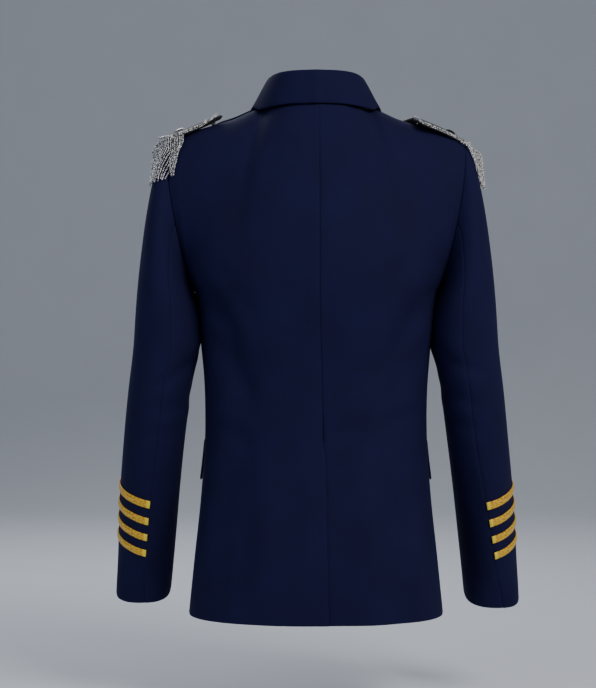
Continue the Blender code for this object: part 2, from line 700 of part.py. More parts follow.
def make_fringes(metal):
    """A strip along the board's free edge, whose lower faces run on into hanging strands."""
    cloud = cloth_cloud()
    levels = (0.0, 0.2, 0.5, 1.0)
    columns = STRANDS * 2 - 1
    for word, side in (("left", 1), ("right", -1)):
        place = board_frame(word)
        inner, away = outline_of(place, columns + 1, 0.0004)
        outer, _ = outline_of(place, columns + 1, 0.0004 + STRIP_THICKNESS)
        mesh = bmesh.new()
        bmesh.ops.create_grid(mesh, x_segments=columns, y_segments=1, size=0.5)
        place_of = {v: (round((v.co.x + 0.5) * columns), round(v.co.y + 0.5)) for v in mesh.verts}
        copy = bmesh.ops.extrude_face_region(mesh, geom=list(mesh.faces), use_keep_orig=True)
        back = {v: (round((v.co.x + 0.5) * columns), round(v.co.y + 0.5))
                for v in copy["geom"] if isinstance(v, bmesh.types.BMVert)}
        low = -0.0012 - STRIP_HEIGHT * 0.45
        high = low + STRIP_HEIGHT
        for points, row in ((place_of, outer), (back, inner)):
            for vert, (i, j) in points.items():
                vert.co = row[i] + np.array((0, 0, mix(low, high, j)))
        foot = {}
        for face in mesh.faces:
            keys = [place_of.get(v) or back.get(v) for v in face.verts]
            column = min(k[0] for k in keys)
            if len(face.verts) == 4 and all(k[1] == 0 for k in keys) and column % 2 == 0:
                if len({k[0] for k in keys}) == 2:
                    foot[column] = face
        for number, (column, face) in enumerate(sorted(foot.items())):
            root = np.mean([np.array(v.co) for v in face.verts], axis=0)
            ragged = 0.0022 * math.sin(number * 2.4) + 0.0012 * math.sin(number * 5.1)
            corners = [np.array(v.co) - root for v in face.verts]
            corners = [c / max(np.linalg.norm(c), 1e-9) * STRAND_THICKNESS * 0.62 for c in corners]
            for level in levels[1:]:
                made = bmesh.ops.extrude_discrete_faces(mesh, faces=[face])
                face = made["faces"][0]
                drop = level * (STRAND_LENGTH + ragged)
                centre = hung(root - np.array((0, 0, drop)), cloud)
                for vert, corner in zip(face.verts, corners):
                    vert.co = centre + corner * (1 - 0.25 * level)
        for vert in mesh.verts:
            vert.co.x *= side
        finished(f"fringe_{word}", mesh, metal)


def clear_scene():
    for item in list(bpy.data.objects):
        bpy.data.objects.remove(item)


def main():
    clear_scene()
    collection = bpy.data.collections.new(COLLECTION)
    bpy.context.scene.collection.children.link(collection)
    suiting = material("navy_suiting", NAVY, 0.78)
    make_backs(suiting)
    make_fronts(suiting)
    make_sleeves(suiting)
    make_collar(suiting)
    make_lapels(suiting)
    make_flaps(suiting)
    make_stripes(material("gold_braid", GOLD, 0.42, 0.25))
    make_buttons(material("brass_button", BRASS, 0.28, 1.0))
    silver = material("silver_chain", SILVER, 0.30, 1.0)
    dark = material("dark_board", DARK, 0.60)
    make_boards(dark, dark, silver)
    make_fringes(silver)


main()
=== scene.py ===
# %% [markdown]
# # A double-breasted jacket, seen from behind
#
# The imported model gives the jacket's pieces as plain cloth walls of the right shape and size.
# This lesson dresses them: it makes each cut piece of cloth again as a fine skin with its seams,
# turned edges and creases, then adds braid, buttons and the chain fringe on the shoulders.
# The wearer faces -Y and the wearer's left is +X, so the view from behind looks along -Y.

import math

import bmesh
import bpy
import numpy as np
from mathutils import Matrix, Vector


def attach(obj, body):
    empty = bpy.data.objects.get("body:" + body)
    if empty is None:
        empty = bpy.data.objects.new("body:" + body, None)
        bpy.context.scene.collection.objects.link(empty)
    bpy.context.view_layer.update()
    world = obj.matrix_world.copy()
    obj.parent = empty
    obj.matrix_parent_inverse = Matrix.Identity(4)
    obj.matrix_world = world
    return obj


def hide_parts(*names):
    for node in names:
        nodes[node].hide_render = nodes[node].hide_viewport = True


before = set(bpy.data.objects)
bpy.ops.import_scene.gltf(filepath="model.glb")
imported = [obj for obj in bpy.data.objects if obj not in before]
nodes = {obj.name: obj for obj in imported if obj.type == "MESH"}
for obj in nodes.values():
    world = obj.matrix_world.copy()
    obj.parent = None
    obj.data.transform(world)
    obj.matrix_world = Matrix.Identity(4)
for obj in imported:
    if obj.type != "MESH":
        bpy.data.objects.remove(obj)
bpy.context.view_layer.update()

# %% [markdown]
# ## Small helpers for numbers
#
# Every surface below is a function of two shares from 0 to 1, worked out for a whole grid at once
# with NumPy. A share of a way is mixed between two ends, eased so that it starts and stops gently,
# or read from a table of measured places. Two kinds of curve read a table: one follows the slope of
# the neighbours, as a bent strip of wood would, and one never swings past a measured value.

# %% Mixing, easing and reading tables
def mix(a, b, t):
    return a + (b - a) * t


def ease(t):
    t = np.clip(t, 0.0, 1.0)
    return t * t * (3 - 2 * t)


def between(xs, ys, slopes, x):
    """A cubic curve through the table (xs, ys) with the given slopes, at every x."""
    at = np.clip(np.searchsorted(xs, x) - 1, 0, len(xs) - 2)
    step = xs[at + 1] - xs[at]
    t = np.clip((x - xs[at]) / step, 0, 1)
    if ys.ndim == 2:
        step, t = step[..., None], t[..., None]
    h1, h2 = 2 * t**3 - 3 * t**2 + 1, t**3 - 2 * t**2 + t
    h3, h4 = -2 * t**3 + 3 * t**2, t**3 - t**2
    return h1 * ys[at] + h2 * step * slopes[at] + h3 * ys[at + 1] + h4 * step * slopes[at + 1]


def strip(xs, ys, x):
    xs, ys = np.asarray(xs, float), np.asarray(ys, float)
    return between(xs, ys, np.gradient(ys, xs, axis=0), np.asarray(x, float))


def tame(xs, ys, x):
    xs, ys = np.asarray(xs, float), np.asarray(ys, float)
    rise = np.diff(ys) / np.diff(xs)
    before, after = np.concatenate((rise[:1], rise)), np.concatenate((rise, rise[-1:]))
    same = before * after > 0
    slopes = np.where(same, 2 * before * after / np.where(same, before + after, 1), 0)
    return between(xs, ys, slopes, np.asarray(x, float))


def bezier(a, b, c, d, t):
    t = t[..., None]
    s = 1 - t
    return s**3 * a + 3 * s * s * t * b + 3 * s * t * t * c + t**3 * d


print("ease of a third:", round(float(ease(1 / 3)), 3))

# %% [markdown]
# ## The sizes of the jacket
#
# These are the same named values as in the model: the body as rings from the hem to the chest, the
# top edges of back and front up to the shoulder seam and the neck, and the sleeve as leaning rings.
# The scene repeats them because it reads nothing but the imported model.

# %% Sizes of the body, in metres
WALL = 0.002
LAYER = WALL + 0.0007 + 0.0006
LAPEL_LAYER = WALL + 0.0016
HEM_Z, CHEST_Z, BREAK_Z, VENT_TOP_Z = -0.674, -0.245, -0.345, -0.452
TUCK_RUN = 0.030
BODY_SHARE = 0.62
SQUARENESS = 0.85
SIDE_ANGLE = math.radians(94)
OVERLAP = 0.068
CHEST_RUN = 0.090
SLOPE_STEP = 0.02  # how far apart two rings are when the slope between them is read
MIDDLE_Y = -0.004

BODY = {
    "z": (-0.674, -0.600, -0.520, -0.430, -0.360, -0.300, -0.245),
    "half_width": (0.170, 0.1625, 0.1540, 0.1485, 0.1500, 0.1565, 0.1630),
    "back": (0.126, 0.123, 0.112, 0.099, 0.098, 0.104, 0.110),
    "front": (-0.142, -0.134, -0.125, -0.120, -0.125, -0.132, -0.137),
    "seam_x": (-0.013, -0.011, -0.010, -0.008, -0.007, -0.005, -0.004),
}
BACK_TOP = {
    "across": (0.0, 0.15, 0.30, 0.42, 0.60, 0.80, 1.0),
    "x": (0.0, 0.028, 0.055, 0.074, 0.112, 0.158, 0.195),
    "y": (0.062, 0.057, 0.036, -0.004, -0.004, -0.004, -0.004),
    "z": (0.000, -0.001, -0.001, 0.000, -0.0145, -0.0280, -0.0425),
    "from_x": (0.0, 0.002, 0.006, 0.002, 0.0, 0.002, 0.016),
    "from_y": (0.024, 0.028, 0.040, 0.062, 0.068, 0.066, 0.060),
    "from_z": (-0.050, -0.046, -0.028, -0.004, 0.0, 0.0, -0.006),
}
FRONT_TOP = {
    "across": (0.0, 0.16, 0.40, 0.70, 1.0),
    "x": (0.062, 0.074, 0.112, 0.158, 0.195),
    "y": (-0.050, -0.004, -0.004, -0.004, -0.004),
    "z": (-0.022, 0.000, -0.0145, -0.0280, -0.0425),
    "from_x": (-0.012, -0.002, 0.0, 0.002, 0.012),
    "from_y": (-0.034, -0.050, -0.058, -0.060, -0.058),
    "from_z": (-0.036, -0.006, 0.0, 0.0, -0.006),
}
BACK_ARMHOLE_START = (0.009, 0.080, 0.010)
FRONT_ARMHOLE_START = (0.004, -0.066, 0.012)
print("body from hem to chest:", CHEST_Z - HEM_Z, "m")

# %% Sizes of the sleeve and collar, in metres
SLEEVE = {
    "z": (-0.655, -0.580, -0.510, -0.445, -0.380, -0.315, -0.285),
    "x": (0.2405, 0.2330, 0.2260, 0.2180, 0.2098, 0.2012, 0.2010),
    "y": (-0.080, -0.056, -0.034, -0.015, -0.003, 0.001, 0.001),
    "half_width": (0.0375, 0.0392, 0.0405, 0.0410, 0.0418, 0.0425, 0.0408),
    "half_depth": (0.048, 0.051, 0.055, 0.058, 0.061, 0.064, 0.066),
    "lean": (14, 18, 17, 10, 4, 0, 0),
}
CUFF_Z, SLEEVE_TOP_Z = SLEEVE["z"][0], SLEEVE["z"][-1]
SLEEVE_SHARE = 0.66
BACK_SLEEVE_SEAM = math.radians(80)
FRONT_SLEEVE_SEAM = math.radians(300)
COLLAR = {
    "around": (0.0, 0.25, 0.50, 0.60, 0.70, 0.86, 1.0),
    "foot": (
        (0.0, 0.0585, 0.004), (0.030, 0.0520, 0.004), (0.055, 0.0310, 0.005),
        (0.0640, 0.0165, 0.0055), (0.0700, 0.0000, 0.006), (0.0680, -0.0260, -0.003),
        (0.0610, -0.0480, -0.016),
    ),
    "fold": (
        (0.0, 0.0570, 0.0430), (0.029, 0.0500, 0.0428), (0.0490, 0.0270, 0.0420),
        (0.0538, 0.0115, 0.0412), (0.0570, -0.0060, 0.0395), (0.0585, -0.0400, 0.0130),
        (0.0540, -0.0640, -0.0180),
    ),
    "edge": (
        (0.0, 0.0660, -0.0004), (0.036, 0.0590, -0.0006), (0.0645, 0.0400, -0.0028),
        (0.0775, 0.0225, -0.0035), (0.0850, 0.0020, 0.0020), (0.0930, -0.0420, -0.0120),
        (0.0960, -0.0800, -0.0430),
    ),
}
print("sleeve from cuff to underarm:", SLEEVE_TOP_Z - CUFF_Z, "m")

# %% [markdown]
# ## The surfaces that the cloth lies on
#
# A jacket's body is close to a rounded box in section, so each ring is a squared oval. Above the
# chest the cloth leaves the last ring and climbs in a soft curve to the shoulder seam and the neck.
# The sleeve is a leaning oval tube below the arm, and its head curves in to meet the armhole seam.

# %% Rings of the body
def ring(angle, z):
    """Points of the body's ring; angle 0 is the centre back and a half turn the centre front."""
    half, back, front = (strip(BODY["z"], BODY[k], z) for k in ("half_width", "back", "front"))
    s, c = np.sin(angle), np.cos(angle)
    depth = np.where(c > 0, back - MIDDLE_Y, MIDDLE_Y - front)
    x = half * np.copysign(np.abs(s) ** SQUARENESS, s)
    y = MIDDLE_Y + depth * np.copysign(np.abs(c) ** SQUARENESS, c)
    return np.stack(np.broadcast_arrays(x, y, z), axis=-1)


def angle_at(x, z):
    """The ring angle, near the centre back, at which the ring passes a given x."""
    share = np.minimum(np.abs(x) / strip(BODY["z"], BODY["half_width"], z), 1.0)
    return np.copysign(np.arcsin(share ** (1 / SQUARENESS)), x)


print("hem ring at the side:", ring(np.array(math.pi / 2), np.array(HEM_Z)).round(3))

# %% Back and front panels
def height_of(up):
    return mix(HEM_Z, CHEST_Z, np.minimum(up / BODY_SHARE, 1.0))


def climbing(up, low, angle, table, across, start, side=0):
    """The ring below the chest, and above it the columns that climb to a top edge. side is 1 or -1
    on a half that meets its twin in a seam, which isn't quite in the middle."""
    top, pull = (np.stack([tame(table["across"], table[k], across) for k in names], axis=-1)
                 for names in (("x", "y", "z"), ("from_x", "from_y", "from_z")))
    slope = (ring(angle, np.full_like(angle, CHEST_Z))
             - ring(angle, np.full_like(angle, CHEST_Z - SLOPE_STEP))) / SLOPE_STEP
    turn = (np.maximum(across, 0.0) ** 4)[..., None]
    top[..., 0] += side * BODY["seam_x"][-1] * (1 - ease(across / 0.3))
    t = np.clip((up - BODY_SHARE) / (1 - BODY_SHARE), 0, 1)
    above = bezier(low, low + mix(slope * CHEST_RUN, np.array(start), turn), top + pull, top, t)
    return np.where((up <= BODY_SHARE)[..., None], low, above)


def back_point(across, up, side=1):
    """Half a back: across runs from the centre seam to the side seam, up from the hem to the neck."""
    z = height_of(up)
    angle = mix(angle_at(side * strip(BODY["z"], BODY["seam_x"], z), z), SIDE_ANGLE, across)
    return climbing(up, ring(angle, z), angle, BACK_TOP, across, BACK_ARMHOLE_START, side)


def front_edge_angle(z):
    """The front's inner edge: the overlap below the break, then the lapel's roll."""
    share = np.clip((z - BREAK_Z) / (CHEST_Z - BREAK_Z), 0, 1)
    return math.pi - angle_at(mix(-OVERLAP, -0.016, share), z)


def front_point(across, up):
    """Half a front: across runs from its inner edge to the side seam."""
    z = height_of(up)
    angle = mix(front_edge_angle(z), SIDE_ANGLE, across)
    return climbing(up, ring(angle, z), angle, FRONT_TOP, across, FRONT_ARMHOLE_START)


def front_over(across, up):
    """How far the left front lies over the right one, and over the right lapel above the break."""
    z = front_point(np.full_like(up, 0.2), up)[..., 2]
    lapel = ease((z - BREAK_Z + 0.060) / 0.03) * (1 - ease((z + 0.150) / 0.06))
    return (LAYER + lapel * (LAPEL_LAYER + 0.0005)) * (1 - ease((across - 0.46) / 0.16))


print("back neck:", back_point(np.array(0.0), np.array(1.0)).round(3))

# %% Sleeve
def armhole(turn):
    """The armhole's seam, from the underarm up the back, over the shoulder and down the front."""
    turn = np.mod(turn, 2 * math.pi)
    one = np.ones_like(turn)
    behind = back_point(one, mix(BODY_SHARE, 1.0, np.minimum(turn / math.pi, 1)))
    before = front_point(one, mix(BODY_SHARE, 1.0, np.minimum((2 * math.pi - turn) / math.pi, 1)))
    return np.where((turn <= math.pi)[..., None], behind, before)


def sleeve_ring(turn, z):
    """Points of the left sleeve; 0 faces the body, a quarter turn the back, a half turn outwards."""
    row = {k: strip(SLEEVE["z"], SLEEVE[k], z) for k in SLEEVE if k != "z"}
    s, c = np.sin(turn), np.cos(turn)
    pressed = mix(0.92, 1.08, ease((-0.42 - z) / 0.12)) - 0.30 * ease((-0.600 - z) / 0.045)
    x = row["x"] - row["half_width"] * np.copysign(np.abs(c) ** pressed, c)
    y = row["y"] + row["half_depth"] * np.copysign(np.abs(s) ** pressed, s)
    return np.stack((x, y, z - (y - row["y"]) * np.tan(np.radians(row["lean"]))), axis=-1)


def sleeve_point(turn, up):
    """The left sleeve's outer face, up from the cuff to the armhole."""
    z = mix(CUFF_Z, SLEEVE_TOP_Z, np.minimum(up / SLEEVE_SHARE, 1))
    below = sleeve_ring(turn, z)
    outward = ((1 - np.cos(turn)) / 2)[..., None]
    slope = (sleeve_ring(turn, np.full_like(z, SLEEVE_TOP_Z))
             - sleeve_ring(turn, np.full_like(z, SLEEVE_TOP_Z - SLOPE_STEP))) / SLOPE_STEP
    start = slope * mix(0.012, 0.115, outward)
    pull = mix(np.array((0.003, 0, -0.010)), np.array((0.017, 0, -0.008)), outward)
    pull = pull + np.sin(turn)[..., None] * np.array((0, 0.010, 0))
    seat = armhole(turn) + (1 - outward) * np.array((0.0006, 0, 0))
    t = np.clip((up - SLEEVE_SHARE) / (1 - SLEEVE_SHARE), 0, 1)
    above = bezier(below, below + start, seat + pull, seat, t)
    return np.where((up <= SLEEVE_SHARE)[..., None], below, above)


# How each sleeve hangs: metres outwards and down at the cuff, and the turn of its back seam in degrees
HANG = {
    "left": {"out": -0.0030, "length": 0.0, "drop": 0.0, "seam": 6},
    "right": {"out": 0.0028, "length": 0.0055, "drop": 0.0030, "seam": 22},
}
HANG_BELOW = 0.45
INNER_PUSH = 0.0055


def worn_sleeve(turn, up, word):
    """The sleeve as it hangs on one arm, given as a left one, with its inner face close to the body."""
    hang = HANG[word]
    low = ease(1 - up / HANG_BELOW)
    drop = hang["length"] * low + hang["drop"] * ease(1 - up / 0.14) * (1 - np.cos(turn)) / 2
    points = sleeve_point(turn, up)
    z = points[..., 2]
    beside = ease((-0.222 - z) / 0.045) * ease((z + 0.350) / 0.04) * ease((1 - up) / 0.10)
    out = hang["out"] * low - INNER_PUSH * beside * ((1 + np.cos(turn)) / 2) ** 1.5
    return points + np.stack(np.broadcast_arrays(out, 0.0, -drop), axis=-1)


def back_seam(up, word):
    return BACK_SLEEVE_SEAM + math.radians(HANG[word]["seam"]) * ease(1 - up / HANG_BELOW)


print("cuff at the back:", worn_sleeve(np.array(math.pi / 2), np.array(0.0), "left").round(3))

# %% Collar, lapel and pocket flap
COLLAR_SEWN_IN = 0.0065
STAND_ENDS, LEAF_STARTS = 0.36, 0.44


def collar_point(u, v):
    """u from gorge to gorge round the back, v from the stand's foot over the fold to the leaf's edge."""
    turn = u * 2 - 1
    foot, fold, edge = (strip(COLLAR["around"], COLLAR[k], np.abs(turn))
                        for k in ("foot", "fold", "edge"))
    foot = foot - (0, 0, COLLAR_SEWN_IN)
    out = (edge - foot) * (1, 1, 0)
    out = out / np.linalg.norm(out, axis=-1, keepdims=True)
    crown = fold + out * 0.003 - (0, 0, 0.0018)
    rise = np.array((0, 0, 0.010))
    inner, roll = crown - out * 0.002, crown + out * 0.0035 + (0, 0, 0.0022)
    stand = bezier(foot, foot + rise, inner - out * 0.002 - rise * 0.9, inner,
                   np.clip(v / STAND_ENDS, 0, 1))
    bend = bezier(inner, inner + (0, 0, 0.0014), roll - out * 0.0025, roll,
                  np.clip((v - STAND_ENDS) / 0.08, 0, 1))
    leaf = bezier(roll, roll + out * 0.0035, edge + (crown - edge) * 0.35 + out * 0.002, edge,
                  np.clip((v - LEAF_STARTS) / 0.56, 0, 1))
    point = np.where((v < STAND_ENDS)[..., None], stand,
                     np.where((v < LEAF_STARTS)[..., None], bend, leaf))
    return point * np.stack((np.copysign(1, turn), np.ones_like(turn), np.ones_like(turn)), axis=-1)


def lapel_place(u, v):
    """Where the lapel lies on the front: u from the roll outwards, v from the break to the gorge."""
    low = (BREAK_Z - HEM_Z) / (CHEST_Z - HEM_Z) * BODY_SHARE
    width = 0.46 * np.sin(np.minimum(v * 1.05 + 0.02, 1.0) * math.pi / 2) ** 0.8
    return u * width, mix(low, 0.885, v) + 0.030 * v**3 * u


FLAP_Z = (-0.4985, -0.444)
FLAP_ACROSS = (0.50, 0.985)


def flap_place(u, v):
    z = mix(FLAP_Z[0], FLAP_Z[1], v) + 0.012 * (1 - u)
    return mix(FLAP_ACROSS[0], FLAP_ACROSS[1], u), (z - HEM_Z) / (CHEST_Z - HEM_Z) * BODY_SHARE


print("collar leaf at the centre back:", collar_point(np.array(0.5), np.array(1.0)).round(3))

# %% [markdown]
# ## Helpers for materials
#
# A tailor names a shade by eye, and a designer by a hex value. Blender's sockets want linear light,
# so one function turns a hex value to linear. A second small function adds a node to a material with
# its settings and links, which keeps each recipe below short enough to read. Three more take up what
# the recipes share: a tone between two colours, a relief, and noise that stays with the object.

# %% One function for colour and one for nodes
def linear(hex_value):
    """An sRGB hex colour as the linear colour that a socket takes."""
    parts = [int(hex_value[k:k + 2], 16) / 255 for k in (0, 2, 4)]
    return (*(c / 12.92 if c <= 0.04045 else ((c + 0.055) / 1.055) ** 2.4 for c in parts), 1.0)


def set_inputs(tree, node, **links):
    """Sets the input of each name, or number after an n, to a value, or links it to a socket."""
    for key, value in links.items():
        key = key.replace("_", " ")
        socket = node.inputs[int(key[1:])] if key[0] == "n" and key[1:].isdigit() else node.inputs[key]
        if isinstance(value, bpy.types.NodeSocket):
            tree.links.new(value, socket)
        else:
            socket.default_value = value


def add(tree, kind, settings=None, **links):
    """Adds a node of a kind, with its settings and inputs."""
    node = tree.nodes.new("ShaderNode" + kind)
    for key, value in (settings or {}).items():
        setattr(node, key, value)
    set_inputs(tree, node, **links)
    return node


def new_material(name):
    """An empty material and its shader."""
    made = bpy.data.materials.new(name)
    made.use_nodes = True
    return made, made.node_tree, made.node_tree.nodes["Principled BSDF"]


def set_tone(tree, shader, factor, dark, light):
    """Colours a shader between two hex values by a factor."""
    tone = add(tree, "Mix", {"data_type": "RGBA"}, n0=factor, n6=linear(dark), n7=linear(light))
    set_inputs(tree, shader, Base_Color=tone.outputs[2])


def set_relief(tree, shader, height, strength, distance):
    bump = add(tree, "Bump", Height=height, Strength=strength, Distance=distance)
    set_inputs(tree, shader, Normal=bump.outputs[0])


def place_noise(tree, **values):
    """Noise that is fixed to the object's own place, in metres."""
    where = add(tree, "TexCoord").outputs["Object"]
    return add(tree, "TexNoise", Vector=where, **values).outputs["Fac"]


print("navy in linear light:", [round(c, 4) for c in linear("1a2242")])

# %% [markdown]
# ## Navy suiting
#
# The cloth is a worsted wool twill, hot pressed so that it is matt with a faint bloom of loose fibre.
# The rib runs across the cut on the bias, so a wave pattern on the piece's own map in metres, turned
# 63 degrees, stays on the cloth wherever the panel bends. Slow noise varies the dye and the pressing.
# A real rib of 0.5 mm would not show, so it is drawn at 1.3 mm.

# %% Suiting and lining
WAVES_A_UNIT = 3.18  # how many bands a wave texture of scale 1 draws in a metre
RIB_SIZE = 0.0013


def suiting_material():
    made, tree, shader = new_material("navy_worsted_twill")
    uv = add(tree, "UVMap", {"uv_map": "cut"}).outputs["UV"]
    turned = add(tree, "Mapping", Vector=uv, Rotation=(0, 0, math.radians(63)))
    rib = add(tree, "TexWave", {"wave_type": "BANDS", "bands_direction": "X"},
              Vector=turned.outputs[0], Scale=1 / RIB_SIZE / WAVES_A_UNIT,
              Distortion=1.2, Detail=1.0, Detail_Scale=2.0)
    fibre = add(tree, "TexNoise", Vector=uv, Scale=900.0, Detail=2.0)
    pressing = add(tree, "TexNoise", Vector=uv, Scale=14.0, Detail=3.0, Roughness=0.55)
    dye = add(tree, "ValToRGB", Fac=pressing.outputs["Fac"])
    dye.color_ramp.elements[0].position, dye.color_ramp.elements[0].color = 0.30, linear("0c0d23")
    dye.color_ramp.elements[1].position, dye.color_ramp.elements[1].color = 0.72, linear("111230")
    flecks = add(tree, "Mix", {"data_type": "RGBA", "blend_type": "SCREEN"},
                 n0=0.10, n6=dye.outputs["Color"], n7=linear("1d1f50"))
    grain = add(tree, "Math", {"operation": "MULTIPLY"},
                n0=rib.outputs["Fac"], n1=fibre.outputs["Fac"])
    tree.links.new(grain.outputs[0], flecks.inputs[0])
    set_inputs(tree, shader, Base_Color=flecks.outputs[2])
    soft = add(tree, "TexNoise", Vector=uv, Scale=38.0, Detail=3.0, Roughness=0.5)
    puckers = add(tree, "Bump", Height=soft.outputs["Fac"], Strength=0.30, Distance=0.0016)
    twill = add(tree, "Bump", Height=grain.outputs[0], Normal=puckers.outputs[0],
                Strength=0.35, Distance=0.00018)
    set_inputs(tree, shader, Normal=twill.outputs[0])
    rough = add(tree, "MapRange", Value=pressing.outputs["Fac"], To_Min=0.80, To_Max=0.92)
    set_inputs(tree, shader, Roughness=rough.outputs["Result"])
    set_inputs(tree, shader, IOR=1.45, Sheen_Weight=0.05, Sheen_Roughness=0.4,
               Sheen_Tint=linear("4656a0"), Specular_IOR_Level=0.12)
    return made


def lining_material():
    """Viscose satin: smooth and slightly shiny, with fine threads along its length."""
    made, tree, shader = new_material("viscose_satin_lining")
    uv = add(tree, "UVMap", {"uv_map": "cut"}).outputs["UV"]
    stretched = add(tree, "Mapping", Vector=uv, Scale=(1.0, 0.06, 1.0))
    thread = add(tree, "TexNoise", Vector=stretched.outputs[0], Scale=700.0, Detail=2.0)
    set_tone(tree, shader, thread.outputs["Fac"], "141a30", "222a48")
    set_relief(tree, shader, thread.outputs["Fac"], 0.2, 0.0002)
    set_inputs(tree, shader, Roughness=0.38, IOR=1.46, Anisotropic=0.4)
    return made


SUITING, LINING = suiting_material(), lining_material()
print("made:", SUITING.name, LINING.name)

# %% [markdown]
# ## Cutting a skin of cloth
#
# Each panel starts as a flat grid, as cloth does on the cutting table. Its points are then laid on the
# surface, and the grid has extra lines close to its sides, where the cloth is turned under or
# sewn. There the skin dips by under a millimetre, which gives the fine shadow of a pressed seam. The
# distances along the cloth are kept as a map in metres, so that the weave keeps its real scale.
# A Solidify modifier then gives the skin its thickness, with the lining as its inner face.

# %% The helper that makes a panel
# How deep the skin dips at a side, and how far in from it, in metres
SEAM, SET_IN, TURNED, FREE = (0.0006, 0.0018), (0.0002, 0.0016), (0.0006, 0.0013), (0.0, 0.001)
SIDES = (("left", 1), ("right", -1))


def close_at_sides(length, spacing):
    """Shares along a side of the grid, closer together near both ends."""
    near = np.array((0, 0.0010, 0.0022, 0.0042, 0.0072)) * min(1, length / 0.030) / length
    steps = max(round((1 - 2 * near[-1]) * length / spacing), 1)
    return np.concatenate((near[:-1], np.linspace(near[-1], 1 - near[-1], steps + 1), 1 - near[-2::-1]))


def reach(points, axis):
    """How far along the cloth each point of a grid lies, in metres."""
    steps = np.linalg.norm(np.diff(points, axis=axis), axis=-1)
    first = np.zeros_like(steps.take([0], axis=axis))
    return np.cumsum(np.concatenate((first, steps), axis=axis), axis=axis)


def normals_of(points, outwards):
    n = np.cross(np.gradient(points, axis=0), np.gradient(points, axis=1)) * outwards
    return n / np.maximum(np.linalg.norm(n, axis=-1, keepdims=True), 1e-12)


def object_of(name, mesh, finishes, smooth=True):
    """Finishes a bmesh as an object of the scene."""
    data = bpy.data.meshes.new(name)
    mesh.to_mesh(data)
    mesh.free()
    for finish in finishes:
        data.materials.append(finish)
    if smooth:
        data.shade_smooth()
    else:
        data.shade_flat()
    made = bpy.data.objects.new(name, data)
    bpy.context.scene.collection.objects.link(made)
    return made


def grid_object(name, points, flip, finishes):
    """An object whose mesh is a bmesh grid laid on an array of points, with its map in metres."""
    columns, rows = points.shape[0] - 1, points.shape[1] - 1
    mesh = bmesh.new()
    bmesh.ops.create_grid(mesh, x_segments=columns, y_segments=rows, size=0.5)
    far, up = reach(points, 0), reach(points, 1)
    cut = mesh.loops.layers.uv.new("cut")
    keys = {v: (round((v.co.x + 0.5) * columns), round((v.co.y + 0.5) * rows)) for v in mesh.verts}
    for face in mesh.faces:
        for loop in face.loops:
            loop[cut].uv = (far[keys[loop.vert]], up[keys[loop.vert]])
    for vert, key in keys.items():
        vert.co = points[key]
    if flip:
        bmesh.ops.reverse_faces(mesh, faces=mesh.faces)
    return object_of(name, mesh, finishes)


def panel(name, node, size, place, sides, side=1, outwards=1, lift=None, relief=None,
          thickness=WALL, spacing=0.0036, lining=LINING, finish=SUITING):
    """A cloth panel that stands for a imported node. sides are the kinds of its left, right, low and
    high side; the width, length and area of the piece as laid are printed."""
    u, v = np.meshgrid(*(close_at_sides(length, spacing) for length in size), indexing="ij")
    points = place(u, v)
    n = normals_of(points, outwards)
    far, up = reach(points, 0), reach(points, 1)
    height = lift(u, v) if lift else np.zeros_like(u)
    if relief:
        height = height + relief(points, u, v)
    for (depth, width), away in zip(sides, (far, far[-1:] - far, up, up[:, -1:] - up)):
        height = height - depth * np.exp(-((away / width) ** 2))
    points = (points + n * height[..., None]) * (side, 1, 1)
    made = grid_object(name, points, outwards * side < 0, (finish, lining or finish))
    wall = made.modifiers.new("cloth", "SOLIDIFY")
    wall.thickness, wall.offset = thickness, -1
    wall.material_offset = 1 if lining else 0
    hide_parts(node)
    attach(made, "root")
    width, length = float(far[-1].max()), float(up[:, -1].max())
    cells = np.cross(np.diff(points, axis=0)[:, :-1], np.diff(points, axis=1)[:-1])
    area = float(np.linalg.norm(cells, axis=-1).sum())
    print(f"{name}: {u.size} points, {width:.3f} x {length:.3f} m, {area:.4f} m2")
    return made


print("sides are closed in by", SEAM, "or", TURNED)

# %% [markdown]
# ## Creases
#
# Worn cloth pulls from where it is held: here from the underarms to the waist, round the elbows, and
# straight down below the waist. A crease could come from a cloth simulation, but then it would fall
# where the solver likes. These are listed one by one as soft troughs, each with a low ridge beside it.

# %% A soft crease between two places
def creases(folds, across, along):
    """How far the cloth lies in; each fold is start, end, half width, depth and sideways bow."""
    total = np.zeros_like(across)
    for (x0, z0), (x1, z1), wide, deep, bow in folds:
        length = math.hypot(x1 - x0, z1 - z0)
        dx, dz = (x1 - x0) / length, (z1 - z0) / length
        share = ((across - x0) * dx + (along - z0) * dz) / length
        bowed = bow * np.sin(np.clip(share, 0, 1) * math.pi)
        away = ((across - x0) * dz - (along - z0) * dx - bowed) / wide
        fade = ease((share + 0.2) / 0.4) * ease((1.2 - share) / 0.4)
        total = total + deep * fade * (np.exp(-away**2) - 0.4 * np.exp(-((away - 1.7) ** 2)))
    return total


